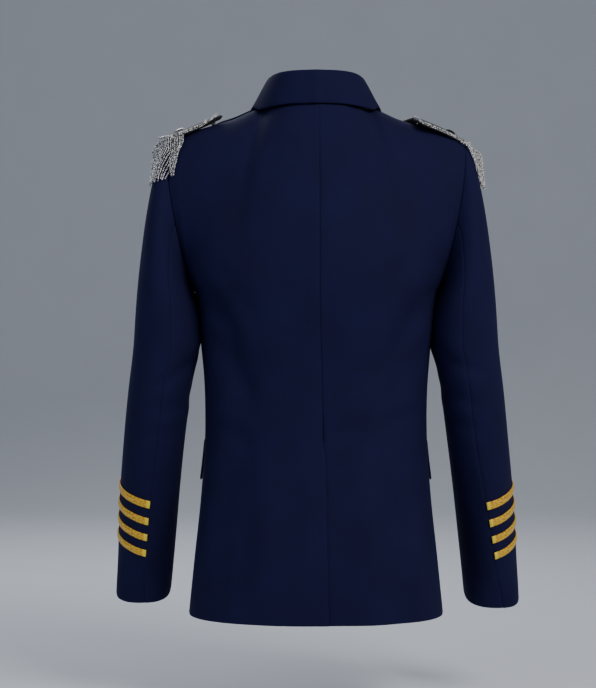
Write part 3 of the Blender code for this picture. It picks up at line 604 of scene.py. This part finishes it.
BACK_FOLDS = {
    "left": (
        ((0.160, -0.235), (0.105, -0.330), 0.013, 0.0036, 0.006),
        ((0.150, -0.300), (0.085, -0.385), 0.012, 0.0026, 0.005),
        ((0.135, -0.215), (0.075, -0.290), 0.014, 0.0016, 0.004),
        ((0.070, -0.440), (0.085, -0.670), 0.016, -0.0024, 0.004),
        ((0.115, -0.470), (0.130, -0.670), 0.014, 0.0028, -0.003),
        ((0.030, -0.480), (0.040, -0.660), 0.013, 0.0016, 0.002),
        ((0.140, -0.420), (0.090, -0.445), 0.012, 0.0018, 0.003),
        ((0.045, -0.085), (0.030, -0.200), 0.020, 0.0010, 0.004),
        ((0.150, -0.250), (0.090, -0.385), 0.030, 0.0048, 0.006),
        ((0.098, -0.370), (0.090, -0.690), 0.026, 0.0050, -0.004),
    ),
    "right": (
        ((0.160, -0.240), (0.100, -0.345), 0.013, 0.0034, 0.005),
        ((0.152, -0.310), (0.088, -0.395), 0.012, 0.0022, 0.004),
        ((0.130, -0.200), (0.080, -0.270), 0.013, 0.0014, 0.003),
        ((0.085, -0.450), (0.100, -0.670), 0.017, 0.0020, -0.004),
        ((0.125, -0.500), (0.135, -0.670), 0.013, -0.0020, 0.003),
        ((0.138, -0.405), (0.080, -0.425), 0.011, 0.0020, 0.002),
        ((0.050, -0.090), (0.040, -0.190), 0.020, 0.0008, -0.004),
        ((0.150, -0.250), (0.075, -0.370), 0.026, 0.0040, 0.005),
        ((0.110, -0.400), (0.115, -0.690), 0.022, 0.0038, 0.004),
    ),
}
FRONT_FOLDS = {
    "left": (
        ((0.150, -0.250), (0.095, -0.360), 0.014, 0.0030, 0.005),
        ((0.140, -0.330), (0.070, -0.420), 0.013, 0.0022, 0.004),
        ((0.085, -0.520), (0.100, -0.670), 0.016, 0.0020, 0.003),
    ),
    "right": (
        ((0.152, -0.240), (0.100, -0.340), 0.014, 0.0028, 0.006),
        ((0.135, -0.345), (0.080, -0.410), 0.012, 0.0022, 0.003),
        ((0.100, -0.530), (0.110, -0.670), 0.015, 0.0018, -0.003),
    ),
}
print("creases on the back:", {k: len(v) for k, v in BACK_FOLDS.items()})

# %% [markdown]
# ## The two backs, with the centre seam and the vent
#
# The back is cut in two halves. They meet in the centre seam, and low down the left half laps over the
# right one in a vent, so that the coat can open when the wearer walks.

# %% Backs
def vent_share(up):
    return ease((VENT_TOP_Z - height_of(up)) / 0.022 + 0.5)


def back_relief(word):
    def relief(points, u, v):
        inset = creases(BACK_FOLDS[word], points[..., 0], points[..., 2])
        return -inset * ease((1 - u) / 0.12) * ease(u / 0.05 + 0.25)
    return relief


def tucked(u, v):
    near = 1 - ease((u - 0.12) / 0.16)
    return -ease((VENT_TOP_Z + TUCK_RUN * 1.8 - height_of(v)) / TUCK_RUN) * near * (WALL + 0.0011)


for word, other, side, under, lift, width in (
        ("left", "right", 1, 0.008, None, 0.285), ("right", "left", -1, 0.10, tucked, 0.295)):
    panel(f"back_{word}_cloth", f"back_{word}", (0.20, 0.70),
          lambda u, v: back_point(u - under * vent_share(v) * (1 - u), v, side=side),
          (SEAM, SEAM, TURNED, SEAM), side=side, outwards=-1, lift=lift, relief=back_relief(word))

# %% [markdown]
# ## The two fronts and the lapels
#
# The left front laps far over the right one, which makes the coat double-breasted. The lapels are the
# turned-back facings: here each is a layer of its own, as it looks once it is rolled and pressed.

# %% Fronts and lapels
def front_relief(word):
    def relief(points, u, v):
        inset = creases(FRONT_FOLDS[word], np.abs(points[..., 0]), points[..., 2])
        return -inset * ease((1 - u) / 0.12) * ease((u - 0.40) / 0.2)
    return relief


for word, side, lift, area in (("left", 1, front_over, 0.171), ("right", -1, None, 0.168)):
    panel(f"front_{word}_cloth", f"front_{word}", (0.25, 0.70), front_point,
          (TURNED, SEAM, TURNED, SEAM), side=side, lift=lift, relief=front_relief(word))


def lapel_point(u, v):
    return front_point(*lapel_place(u, v))


def left_lapel_lift(u, v):
    return front_over(*lapel_place(u, v)) + LAPEL_LAYER + 0.0010 * ease(u)


def right_lapel_lift(u, v):
    return np.full_like(u, LAPEL_LAYER)


for word, side, lift in (("left", 1, left_lapel_lift), ("right", -1, right_lapel_lift)):
    panel(f"lapel_{word}_cloth", f"lapel_{word}", (0.09, 0.27), lapel_point,
          (FREE, TURNED, TURNED, TURNED), side=side, lift=lift, lining=None)

# %% [markdown]
# ## Pocket flaps
#
# A flap is sewn in along its top and hangs free, so its lower edge stands a little off the coat.

# %% Flaps
def flap_lift(word):
    def lift(u, v):
        under = front_over(*flap_place(u, v)) if word == "left" else 0.0
        return under + WALL + 0.0010 + 0.0026 * (1 - v) * ease(u)
    return lift


for word, side in SIDES:
    panel(f"pocket_flap_{word}_cloth", f"pocket_flap_{word}", (0.13, 0.055),
          lambda u, v: front_point(*flap_place(u, v)), (TURNED, TURNED, TURNED, SEAM),
          side=side, lift=flap_lift(word))

# %% [markdown]
# ## Two-piece sleeves
#
# A tailored sleeve is a wide top sleeve and a narrow under sleeve, sewn along the back and the front
# of the arm, so that it can bend forwards at the elbow. Both are set into the armhole.

# %% Sleeves
ARC_OF_A_DEGREE = 0.0009
CREASE_STRENGTH = 0.6
# Each fold's ends are a turn in degrees and a height; then half width, depth and sideways bow
SLEEVE_FOLDS = {
    "left": (
        ((20, -0.335), (105, -0.372), 0.010, 0.0034, 0.003),
        ((-10, -0.385), (80, -0.402), 0.009, 0.0028, 0.002),
        ((30, -0.430), (120, -0.440), 0.009, 0.0018, -0.002),
        ((240, -0.330), (330, -0.352), 0.011, 0.0034, 0.0),
        ((250, -0.372), (335, -0.384), 0.010, 0.0030, 0.0),
        ((150, -0.180), (120, -0.330), 0.016, 0.0014, 0.004),
        ((-40, -0.300), (40, -0.345), 0.010, 0.0030, 0.002),
        ((110, -0.480), (125, -0.640), 0.016, 0.0014, 0.003),
    ),
    "right": (
        ((15, -0.320), (110, -0.352), 0.010, 0.0036, 0.004),
        ((-5, -0.372), (90, -0.392), 0.009, 0.0030, 0.002),
        ((20, -0.412), (95, -0.430), 0.009, 0.0022, 0.002),
        ((245, -0.325), (335, -0.350), 0.012, 0.0034, 0.0),
        ((255, -0.380), (330, -0.392), 0.010, 0.0026, 0.0),
        ((140, -0.170), (112, -0.300), 0.015, 0.0016, -0.004),
        ((-35, -0.290), (45, -0.318), 0.009, 0.0028, 0.002),
        ((60, -0.470), (70, -0.640), 0.015, 0.0016, -0.003),
    ),
}


def sleeve_relief(word, first, last):
    """The creases of one sleeve panel, which runs from one turn to another, in degrees."""
    folds = [((a * ARC_OF_A_DEGREE, za), (b * ARC_OF_A_DEGREE, zb), *rest)
             for (a, za), (b, zb), *rest in SLEEVE_FOLDS[word]]

    def relief(points, u, v):
        inset = creases(folds, mix(first, last, u) * ARC_OF_A_DEGREE, points[..., 2])
        return -CREASE_STRENGTH * inset * ease(v / 0.04)
    return relief


for word, side in SIDES:
    panel(f"top_sleeve_{word}_cloth", f"top_sleeve_{word}", (0.22, 0.60),
          lambda u, v: worn_sleeve(mix(back_seam(v, word), FRONT_SLEEVE_SEAM, u), v, word),
          (SEAM, SEAM, TURNED, SET_IN), side=side, outwards=-1, relief=sleeve_relief(word, 80, 300))
    panel(f"under_sleeve_{word}_cloth", f"under_sleeve_{word}", (0.13, 0.45),
          lambda u, v: worn_sleeve(mix(FRONT_SLEEVE_SEAM - 2 * math.pi, back_seam(v, word), u), v, word),
          (SEAM, SEAM, TURNED, SET_IN), side=side, outwards=-1, relief=sleeve_relief(word, -60, 80))

# %% [markdown]
# ## The collar
#
# One piece of cloth stands up round the neck, folds over and falls as the leaf. The fold is a soft
# roll, not a knife edge, and the leaf's lower edge is turned and pressed.

# %% Collar
panel("collar_cloth", "collar", (0.50, 0.11), collar_point, (TURNED, TURNED, FREE, TURNED),
      thickness=0.0018, spacing=0.0026, lining=None)

# %% [markdown]
# ## Gold braid on the cuffs
#
# Four bands of woven gilt braid, 10 mm wide, run round each top sleeve and are caught in its back seam,
# where the turned end is double and catches more light, which is painted on as a paler yellow: a
# painted highlight. The bands aren't level: each rises a little from the seam and sinks again, as read
# off the coat. The gilt thread is taken as only partly metallic, with a rib every 1.6 mm across the band
# and a finer one along it.

# %% Braid
BRAID_RIB, BRAID_THREAD = 0.0016, 0.0011


def braid_material():
    made, tree, shader = new_material("woven_gilt_braid")
    uv = add(tree, "UVMap", {"uv_map": "cut"}).outputs["UV"]
    slanted = add(tree, "Mapping", Vector=uv, Rotation=(0, 0, math.radians(28)))
    rib = add(tree, "TexWave", {"wave_type": "BANDS", "bands_direction": "X"},
              Vector=slanted.outputs[0], Scale=1 / BRAID_RIB / WAVES_A_UNIT,
              Distortion=1.5, Detail=1.0, Detail_Scale=1.5)
    thread = add(tree, "TexWave", {"wave_type": "BANDS", "bands_direction": "Y"},
                 Vector=uv, Scale=1 / BRAID_THREAD / WAVES_A_UNIT, Distortion=0.8)
    weave = add(tree, "Math", {"operation": "MULTIPLY"},
                n0=rib.outputs["Fac"], n1=thread.outputs["Fac"])
    flecks = add(tree, "TexNoise", Vector=uv, Scale=320.0, Detail=2.0)
    strewn = add(tree, "MapRange", Value=flecks.outputs["Fac"],
                 From_Min=0.34, From_Max=0.62)
    tone = add(tree, "Mix", {"data_type": "RGBA"}, n0=strewn.outputs["Result"],
               n6=linear("cc8608"), n7=linear("ffd42e"))
    gilt = add(tree, "Mix", {"data_type": "RGBA", "blend_type": "MULTIPLY"}, n0=0.55,
               n6=tone.outputs[2], n7=(1, 1, 1, 1))
    shade = add(tree, "MapRange", Value=weave.outputs[0], To_Min=0.65, To_Max=1.6)
    tree.links.new(shade.outputs["Result"], gilt.inputs[7])
    # The first 5 mm of each band, at its turned end by the back seam, is painted paler yellow: a painted
    # highlight
    along = add(tree, "SeparateXYZ", Vector=uv)
    end_highlight_share = add(tree, "MapRange", Value=along.outputs["X"],
                 From_Min=0.0045, From_Max=0.0055, To_Min=1.0, To_Max=0.0)
    with_end_highlight = add(tree, "Mix", {"data_type": "RGBA"}, n0=end_highlight_share.outputs["Result"],
                n6=gilt.outputs[2], n7=linear("ffe23c"))
    set_inputs(tree, shader, Base_Color=with_end_highlight.outputs[2])
    set_relief(tree, shader, weave.outputs[0], 0.7, 0.0005)
    set_inputs(tree, shader, Metallic=0.20, Roughness=0.36)
    return made


BRAID = braid_material()
STRIPE_WIDTH, STRIPE_PITCH, STRIPE_TOP, STRIPES = 0.0098, 0.0225, 0.150, 4
STRIPE_RISE, RISE_ENDS, SUNK_BY = 0.0075, 0.9, 0.2
BRAID_END, BRAID_SIDE = (0.0005, 0.0010), (0.0004, 0.0007)


def stripe_place(word, number):
    top = STRIPE_TOP - number * STRIPE_PITCH
    relief = sleeve_relief(word, 80, 300)

    def place(u, v):
        slant = STRIPE_RISE * np.sin(math.pi * np.minimum(u / RISE_ENDS, 1.0)) - STRIPE_RISE * SUNK_BY
        up = (mix(top - STRIPE_WIDTH, top, v) + slant) / (SLEEVE_TOP_Z - CUFF_Z) * SLEEVE_SHARE
        turn = mix(back_seam(up, word) + 0.02, FRONT_SLEEVE_SEAM - 0.03, u)
        points = worn_sleeve(turn, up, word)
        return points + normals_of(points, -1) * relief(points, u, np.ones_like(v))[..., None]
    return place


def stripe_lift(u, v):
    return 0.0017 + 0.0007 * np.exp(-((u / 0.020) ** 4)) + 0.0003 * np.sin(v * math.pi)


for word, side in SIDES:
    for number in range(STRIPES):
        panel(f"braid_{word}_{number + 1}", f"stripe_{word}_{number + 1}", (0.17, STRIPE_WIDTH),
              stripe_place(word, number), (BRAID_END, BRAID_END, BRAID_SIDE, BRAID_SIDE),
              side=side, outwards=-1, lift=stripe_lift, thickness=0.0009, spacing=0.0022,
              lining=None, finish=BRAID)

# %% [markdown]
# ## Shoulder boards
#
# Each board is a stiff card covered with black-blue felt, square at the neck end and round at the
# shoulder. A double row of silver ball chain is glued along its edge and over part of the neck end. A
# low dark dome is set on it, and its neck end is propped on a small pin. Felt has no thread lines, only
# short matted hair. Real nickel is fully metallic. Here it is made only partly so, because that came
# out nearer to bright chain under these soft lamps: a given value, not a measured one.

# %% Felt and metals
def felt_material():
    made, tree, shader = new_material("pressed_wool_felt")
    hair = place_noise(tree, Scale=1400.0, Detail=4.0, Distortion=0.6)
    set_tone(tree, shader, hair, "06070c", "10131f")
    set_relief(tree, shader, hair, 0.5, 0.0003)
    set_inputs(tree, shader, Roughness=0.9, Sheen_Weight=0.10, Sheen_Roughness=0.5, Specular_IOR_Level=0.2)
    return made


def metal_material(name, light, dark, roughness, grit, patchy, metallic=1.0):
    """A metal whose tone and gloss vary in patches. On the brass they are the soft patches of handled
    metal; on the ball chain and pins they are a hard speckle of painted glints and painted shade.
    """
    made, tree, shader = new_material(name)
    wear_and_glints = place_noise(tree, Scale=grit, Detail=3.0)
    # Tone patches: a painted speckle of glints and shade on the chain, handled wear on the brass
    worn_and_glints = add(tree, "MapRange", Value=wear_and_glints,
               From_Min=0.5 - patchy, From_Max=0.5 + patchy)
    set_tone(tree, shader, worn_and_glints.outputs["Result"], dark, light)
    gloss = add(tree, "MapRange", Value=wear_and_glints,
                To_Min=roughness * 0.75, To_Max=roughness * 1.3)
    set_inputs(tree, shader, Roughness=gloss.outputs["Result"])
    set_relief(tree, shader, wear_and_glints, 0.15, 0.0002)
    set_inputs(tree, shader, Metallic=metallic)
    return made


def dome_material():
    """Cast phenolic resin: hard, near black and softly polished."""
    made, tree, shader = new_material("polished_black_resin")
    set_tone(tree, shader, place_noise(tree, Scale=300.0, Detail=2.0), "0c0d12", "1c1e26")
    set_inputs(tree, shader, Roughness=0.28, IOR=1.6)
    return made


FELT, RESIN = felt_material(), dome_material()
# The chain's hard white and dark grey patches are painted glints and painted shade between beads
SILVER = metal_material("nickel_plated_ball_chain", "ffffff", "54565c", 0.22, 520.0, 0.06, 0.30)
BRASS = metal_material("polished_yellow_brass", "e8c063", "b98a35", 0.24, 260.0, 0.5)
print("made:", FELT.name, RESIN.name, SILVER.name, BRASS.name)

# %% The shape of a board
# z is the height at the neck end, the middle and the outer end; droop is how far the back and the front
# edge sink; the three "from" shares say where the fringe and the chain start; curl lifts the chain's ends
BOARD = {
    "left": {
        "middle_x": 0.1705, "yaw": math.radians(16), "z": (-0.0110, -0.0290, -0.0440),
        "droop": (0.0030, 0.0030), "curl": 0.0045,
        "fringe_from": 0.68, "chain_from": 0.10, "end_from": 1.0,
    },
    "right": {
        "middle_x": 0.1655, "yaw": math.radians(-22), "z": (-0.0165, -0.0298, -0.0475),
        "droop": (0.0088, 0.0010), "curl": 0.0,
        "fringe_from": 0.66, "chain_from": 0.0, "end_from": 0.25,
    },
}
BOARD_MIDDLE_Y, BOARD_LENGTH, BOARD_WIDTH, BOARD_THICKNESS = -0.004, 0.079, 0.056, 0.0045
BOARD_ROUND_FROM, ROUNDNESS = 0.74, 2.4


def board_place(word, along, across):
    """The board's underside: along 0 to 1 outwards, across -1 to 1 backwards."""
    board = BOARD[word]
    cos, sin = math.cos(board["yaw"]), math.sin(board["yaw"])
    x, y = (along - 0.5) * BOARD_LENGTH, across * BOARD_WIDTH / 2
    z = strip((0.0, 0.5, 1.0), board["z"], along) - np.where(across > 0, *board["droop"]) * across**2
    return np.stack((board["middle_x"] + x * cos - y * sin,
                     BOARD_MIDDLE_Y + x * sin + y * cos, z), axis=-1)


def board_half_width(along):
    outer = np.maximum(along - BOARD_ROUND_FROM, 0) / (1 - BOARD_ROUND_FROM)
    inner = np.maximum(0.05 - along, 0) / 0.05
    return np.maximum(1 - outer**ROUNDNESS, 0.0004) ** (1 / ROUNDNESS) * (1 - 0.08 * inner**2)


def board_outline(word, first, spacing):
    """Evenly spaced places along the board's edge, from `first` along its back side, round its end."""
    turn = np.linspace(0, math.pi / 2, 160)
    round_part = BOARD_ROUND_FROM + (1 - BOARD_ROUND_FROM) * np.sin(turn) ** (2 / ROUNDNESS)
    half = np.concatenate((np.linspace(first, BOARD_ROUND_FROM, 60)[:-1], round_part))
    along, across = np.concatenate((half, half[::-1][1:])), np.ones(2 * len(half) - 1)
    across[len(half):] = -1
    path = board_place(word, along, across * board_half_width(along) * (along < 0.99999))
    steps = np.concatenate(((0,), np.cumsum(np.linalg.norm(np.diff(path, axis=0), axis=1))))
    at = np.linspace(0, steps[-1], round(steps[-1] / spacing) + 1)
    return np.stack([np.interp(at, steps, path[:, k]) for k in range(3)], axis=1)


def away_from_board(points):
    """The level direction that points away from the board at each place of its edge."""
    step = np.gradient(points, axis=0)
    away = np.stack((-step[:, 1], step[:, 0], np.zeros(len(points))), axis=1)
    away /= np.linalg.norm(away, axis=1)[:, None]
    return away * np.sign(((points - points.mean(axis=0)) * away).sum(axis=1))[:, None]


print("edge of a board:", len(board_outline("left", 0.0, 0.0024)), "beads round")

# %% Boards, domes and pins
for word, side in SIDES:
    panel(f"felt_board_{word}", f"shoulder_board_{word}", (BOARD_LENGTH, BOARD_WIDTH),
          lambda u, v: board_place(word, u, (v * 2 - 1) * board_half_width(u)) + (0, 0, BOARD_THICKNESS),
          ((0.0012, 0.0012),) * 4, side=side, thickness=BOARD_THICKNESS, spacing=0.0024,
          lining=None, finish=FELT)
    nodes[f"board_dome_{word}"].material_slots[0].material = RESIN
    nodes[f"board_pin_{word}"].material_slots[0].material = SILVER

# %% [markdown]
# ## Ball chain
#
# Ball chain is a row of hollow beads, closed round short wire links. A chain is built from low
# spheres with a thin four-sided wire through them. Thousands of beads are needed, so each has only
# two dozen faces, left flat so that each one can glint.

# %% One chain
BEAD = 0.0021


def add_chain(mesh, path, bead=BEAD, wire=0.00035):
    """Adds beads at every place of a path, and the wire that joins them, to a bmesh."""
    small = bmesh.new()
    for place in path:
        bmesh.ops.create_uvsphere(small, u_segments=6, v_segments=4, radius=bead / 2,
                                  matrix=Matrix.Translation(Vector(place)))
    start = bmesh.ops.create_circle(small, segments=4, radius=wire, cap_ends=False)
    ring_now = start["verts"]
    bmesh.ops.translate(small, verts=ring_now, vec=Vector(path[0]))
    edges = [e for e in small.edges if all(v in ring_now for v in e.verts)]
    for before, after in zip(path, path[1:]):
        grown = bmesh.ops.extrude_edge_only(small, edges=edges)["geom"]
        edges = [g for g in grown if isinstance(g, bmesh.types.BMEdge)]
        moved = list(dict.fromkeys(v for e in edges for v in e.verts))
        bmesh.ops.translate(small, verts=moved, vec=Vector(after) - Vector(before))
    data = bpy.data.meshes.new("chain")
    small.to_mesh(data)
    small.free()
    mesh.from_mesh(data)
    bpy.data.meshes.remove(data)


def chain_object(name, mesh, side):
    """Finishes a bmesh of chains as one object of the given side."""
    bmesh.ops.scale(mesh, verts=mesh.verts, vec=(side, 1, 1))
    bmesh.ops.recalc_face_normals(mesh, faces=mesh.faces)
    made = object_of(name, mesh, (SILVER,), smooth=False)
    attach(made, "root")
    print(name, len(made.data.vertices), "points")
    return made


# %% The chain round each board
EDGING_HEIGHTS, EDGING_PITCH = (0.0020, 0.0040), BEAD * 1.06
for word, side in SIDES:
    edging = bmesh.new()
    for height in EDGING_HEIGHTS:
        rim = board_outline(word, BOARD[word]["chain_from"], EDGING_PITCH)
        across = np.arange(BOARD[word]["end_from"], 0.94, EDGING_PITCH / BOARD_WIDTH * 2)
        rim = np.concatenate((board_place(word, 0 * across, across), rim))
        share = np.linspace(0, 1, len(rim))
        curl = BOARD[word]["curl"] * ease(1 - np.minimum(share, 1 - share) / 0.12)
        rim = rim + away_from_board(rim) * 0.0006 + np.stack((0 * curl, 0 * curl, height + curl), axis=1)
        add_chain(edging, rim)
    chain_object(f"chain_edging_{word}", edging, side)

# %% [markdown]
# ## The fringe
#
# Every strand is a length of ball chain from the board's edge. It hangs a little clear of the sleeve
# and swings in towards its end. So each strand is a path that goes down step by step, pushed out from
# the arm where the cloth needs the room.

# %% Strands on the sleeve
STRAND_LENGTH, STRANDS = 0.056, 33
ARM_CENTRE = {"left": np.array((0.150, -0.004)), "right": np.array((0.110, -0.004))}
STAND_OFF = {"left": 0.0090, "right": 0.0150}
STRAND_PITCH = BEAD * 1.08


def cloth_near(word):
    """Places on the sleeve and shoulder that the strands have to clear."""
    turn, up = np.meshgrid(np.linspace(0.3, 6.0, 130), np.linspace(0.55, 1.0, 90), indexing="ij")
    across, high = np.meshgrid(np.linspace(0.5, 1.0, 30), np.linspace(0.75, 1.0, 60), indexing="ij")
    found = [worn_sleeve(turn, up, word), back_point(across, high), front_point(across, high)]
    return np.concatenate([points.reshape(-1, 3) for points in found])


def hanging(root, drop, centre, cloth, stand_off):
    """The path of one strand, pushed outwards from the arm where the cloth is in its way."""
    levels = np.arange(0.0, drop, STRAND_PITCH)
    arm = root[:2] - centre
    distance = np.hypot(*arm)
    arm = arm / distance
    stand_off = stand_off * (1 - ease((arm[1] + 0.05) / 0.3))
    path = []
    for level in levels:
        z = root[2] - level
        beside = cloth[np.abs(cloth[:, 2] - z) < 0.004][:, :2] - centre
        apart = np.abs(beside[:, 0] * arm[1] - beside[:, 1] * arm[0])
        far = (beside @ arm)[apart < 0.005]
        distance = max(distance, (far.max() + BEAD * 0.75) if len(far) else 0.0)
        loose = stand_off * ease(level / 0.012) * (1 - 0.6 * level / drop)
        path.append((*(centre + arm * (distance + loose)), z))
    path = np.array(path)
    soft = path.copy()
    soft[1:-1] = (path[:-2] + 2 * path[1:-1] + path[2:]) / 4
    return soft


for word, side in SIDES:
    cloth = cloth_near(word)
    edge = board_outline(word, BOARD[word]["fringe_from"], 0.0005)
    roots = edge + away_from_board(edge) * 0.0010
    roots = roots[np.linspace(0, len(roots) - 1, STRANDS).round().astype(int)]
    fringe = bmesh.new()
    for number, root in enumerate(roots):
        ragged = 0.0020 * math.sin(number * 2.4) + 0.0012 * math.sin(number * 5.1)
        add_chain(fringe, hanging(root, STRAND_LENGTH + ragged, ARM_CENTRE[word], cloth,
                                  STAND_OFF[word]))
    made = chain_object(f"chain_fringe_{word}", fringe, side)
    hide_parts(f"fringe_{word}")

# %% [markdown]
# ## Buttons
#
# The buttons are turned and polished, so the model's shape is right and only needs its metal.

# %% Buttons
for node in nodes:
    if node.startswith("button_"):
        nodes[node].material_slots[0].material = BRASS
print("buttons:", sum(node.startswith("button_") for node in nodes))

# %% [markdown]
# ## The floor, the light and the camera
#
# The coat hangs in front of a plain pale sweep. Seen by the camera, which looks straight at the back,
# one large soft lamp stands high on the right and a weak one fills from the left. A third lights the
# front from the far side.

# %% Floor
def plain_material(name, hex_value, roughness):
    """Matt painted board, with a slight grain so that it isn't a flat colour."""
    made, tree, shader = new_material(name)
    tone = add(tree, "Mix", {"data_type": "RGBA"}, n0=place_noise(tree, Scale=6.0, Detail=4.0),
               n6=linear(hex_value), n7=tuple(c * 0.94 for c in linear(hex_value)))
    set_inputs(tree, shader, Base_Color=tone.outputs[2])
    set_inputs(tree, shader, Roughness=roughness)
    return made


FLOOR_Z, WALL_Y = -0.80, -4.50
sweep = bmesh.new()
bmesh.ops.create_grid(sweep, x_segments=1, y_segments=1, size=6.0)
bmesh.ops.translate(sweep, verts=sweep.verts, vec=(0, 6.0 + WALL_Y, FLOOR_Z))
far_edge = [e for e in sweep.edges if all(v.co.y < WALL_Y + 0.01 for v in e.verts)]
raised = bmesh.ops.extrude_edge_only(sweep, edges=far_edge)
top = [g for g in raised["geom"] if isinstance(g, bmesh.types.BMVert)]
bmesh.ops.translate(sweep, verts=top, vec=(0, 0, 5.0))
turn_edge = [e for e in sweep.edges
             if all(abs(v.co.y - WALL_Y) < 0.01 and v.co.z < FLOOR_Z + 0.01 for v in e.verts)]
bmesh.ops.bevel(sweep, geom=turn_edge, offset=1.8, affect="EDGES", segments=24, profile=0.5, material=-1)
object_of("pale_sweep", sweep, (plain_material("matt_pale_board", "c9ced8", 0.9),))
print("floor at", FLOOR_Z)

# %% Lights
def soft_lamp(name, place, target, size, power, hex_value):
    lamp = bpy.data.lights.new(name, "AREA")
    lamp.shape, lamp.size, lamp.size_y = "RECTANGLE", size[0], size[1]
    lamp.energy, lamp.color = power, linear(hex_value)[:3]
    made = bpy.data.objects.new(name, lamp)
    made.location = place
    made.rotation_euler = (Vector(target) - Vector(place)).to_track_quat("-Z", "Y").to_euler()
    bpy.context.scene.collection.objects.link(made)
    return made


soft_lamp("key_softbox", (-1.4, 2.0, 1.4), (0, 0, -0.25), (1.4, 1.1), 56, "fff8ee")
soft_lamp("fill_softbox", (2.2, 1.6, 0.4), (0, 0, -0.3), (1.4, 1.6), 9, "eaf1ff")
soft_lamp("front_softbox", (0.6, -1.6, 1.4), (0, -0.1, -0.3), (1.6, 1.2), 34, "ffffff")
world = bpy.data.worlds.new("soft_room")
world.use_nodes = True
world.node_tree.nodes["Background"].inputs["Color"].default_value = linear("dfe5ee")
world.node_tree.nodes["Background"].inputs["Strength"].default_value = 0.35
bpy.context.scene.world = world

# %% Camera
lens = bpy.data.cameras.new("view_from_behind")
lens.lens, lens.sensor_width, lens.sensor_fit = 93.7, 36.0, "AUTO"
camera = bpy.data.objects.new("view_from_behind", lens)
camera.location = (0.024, 2.4, -0.315)
camera.rotation_euler = (math.radians(90), 0, math.radians(180))
bpy.context.scene.collection.objects.link(camera)
bpy.context.scene.camera = camera
print("camera at", tuple(round(c, 3) for c in camera.location))
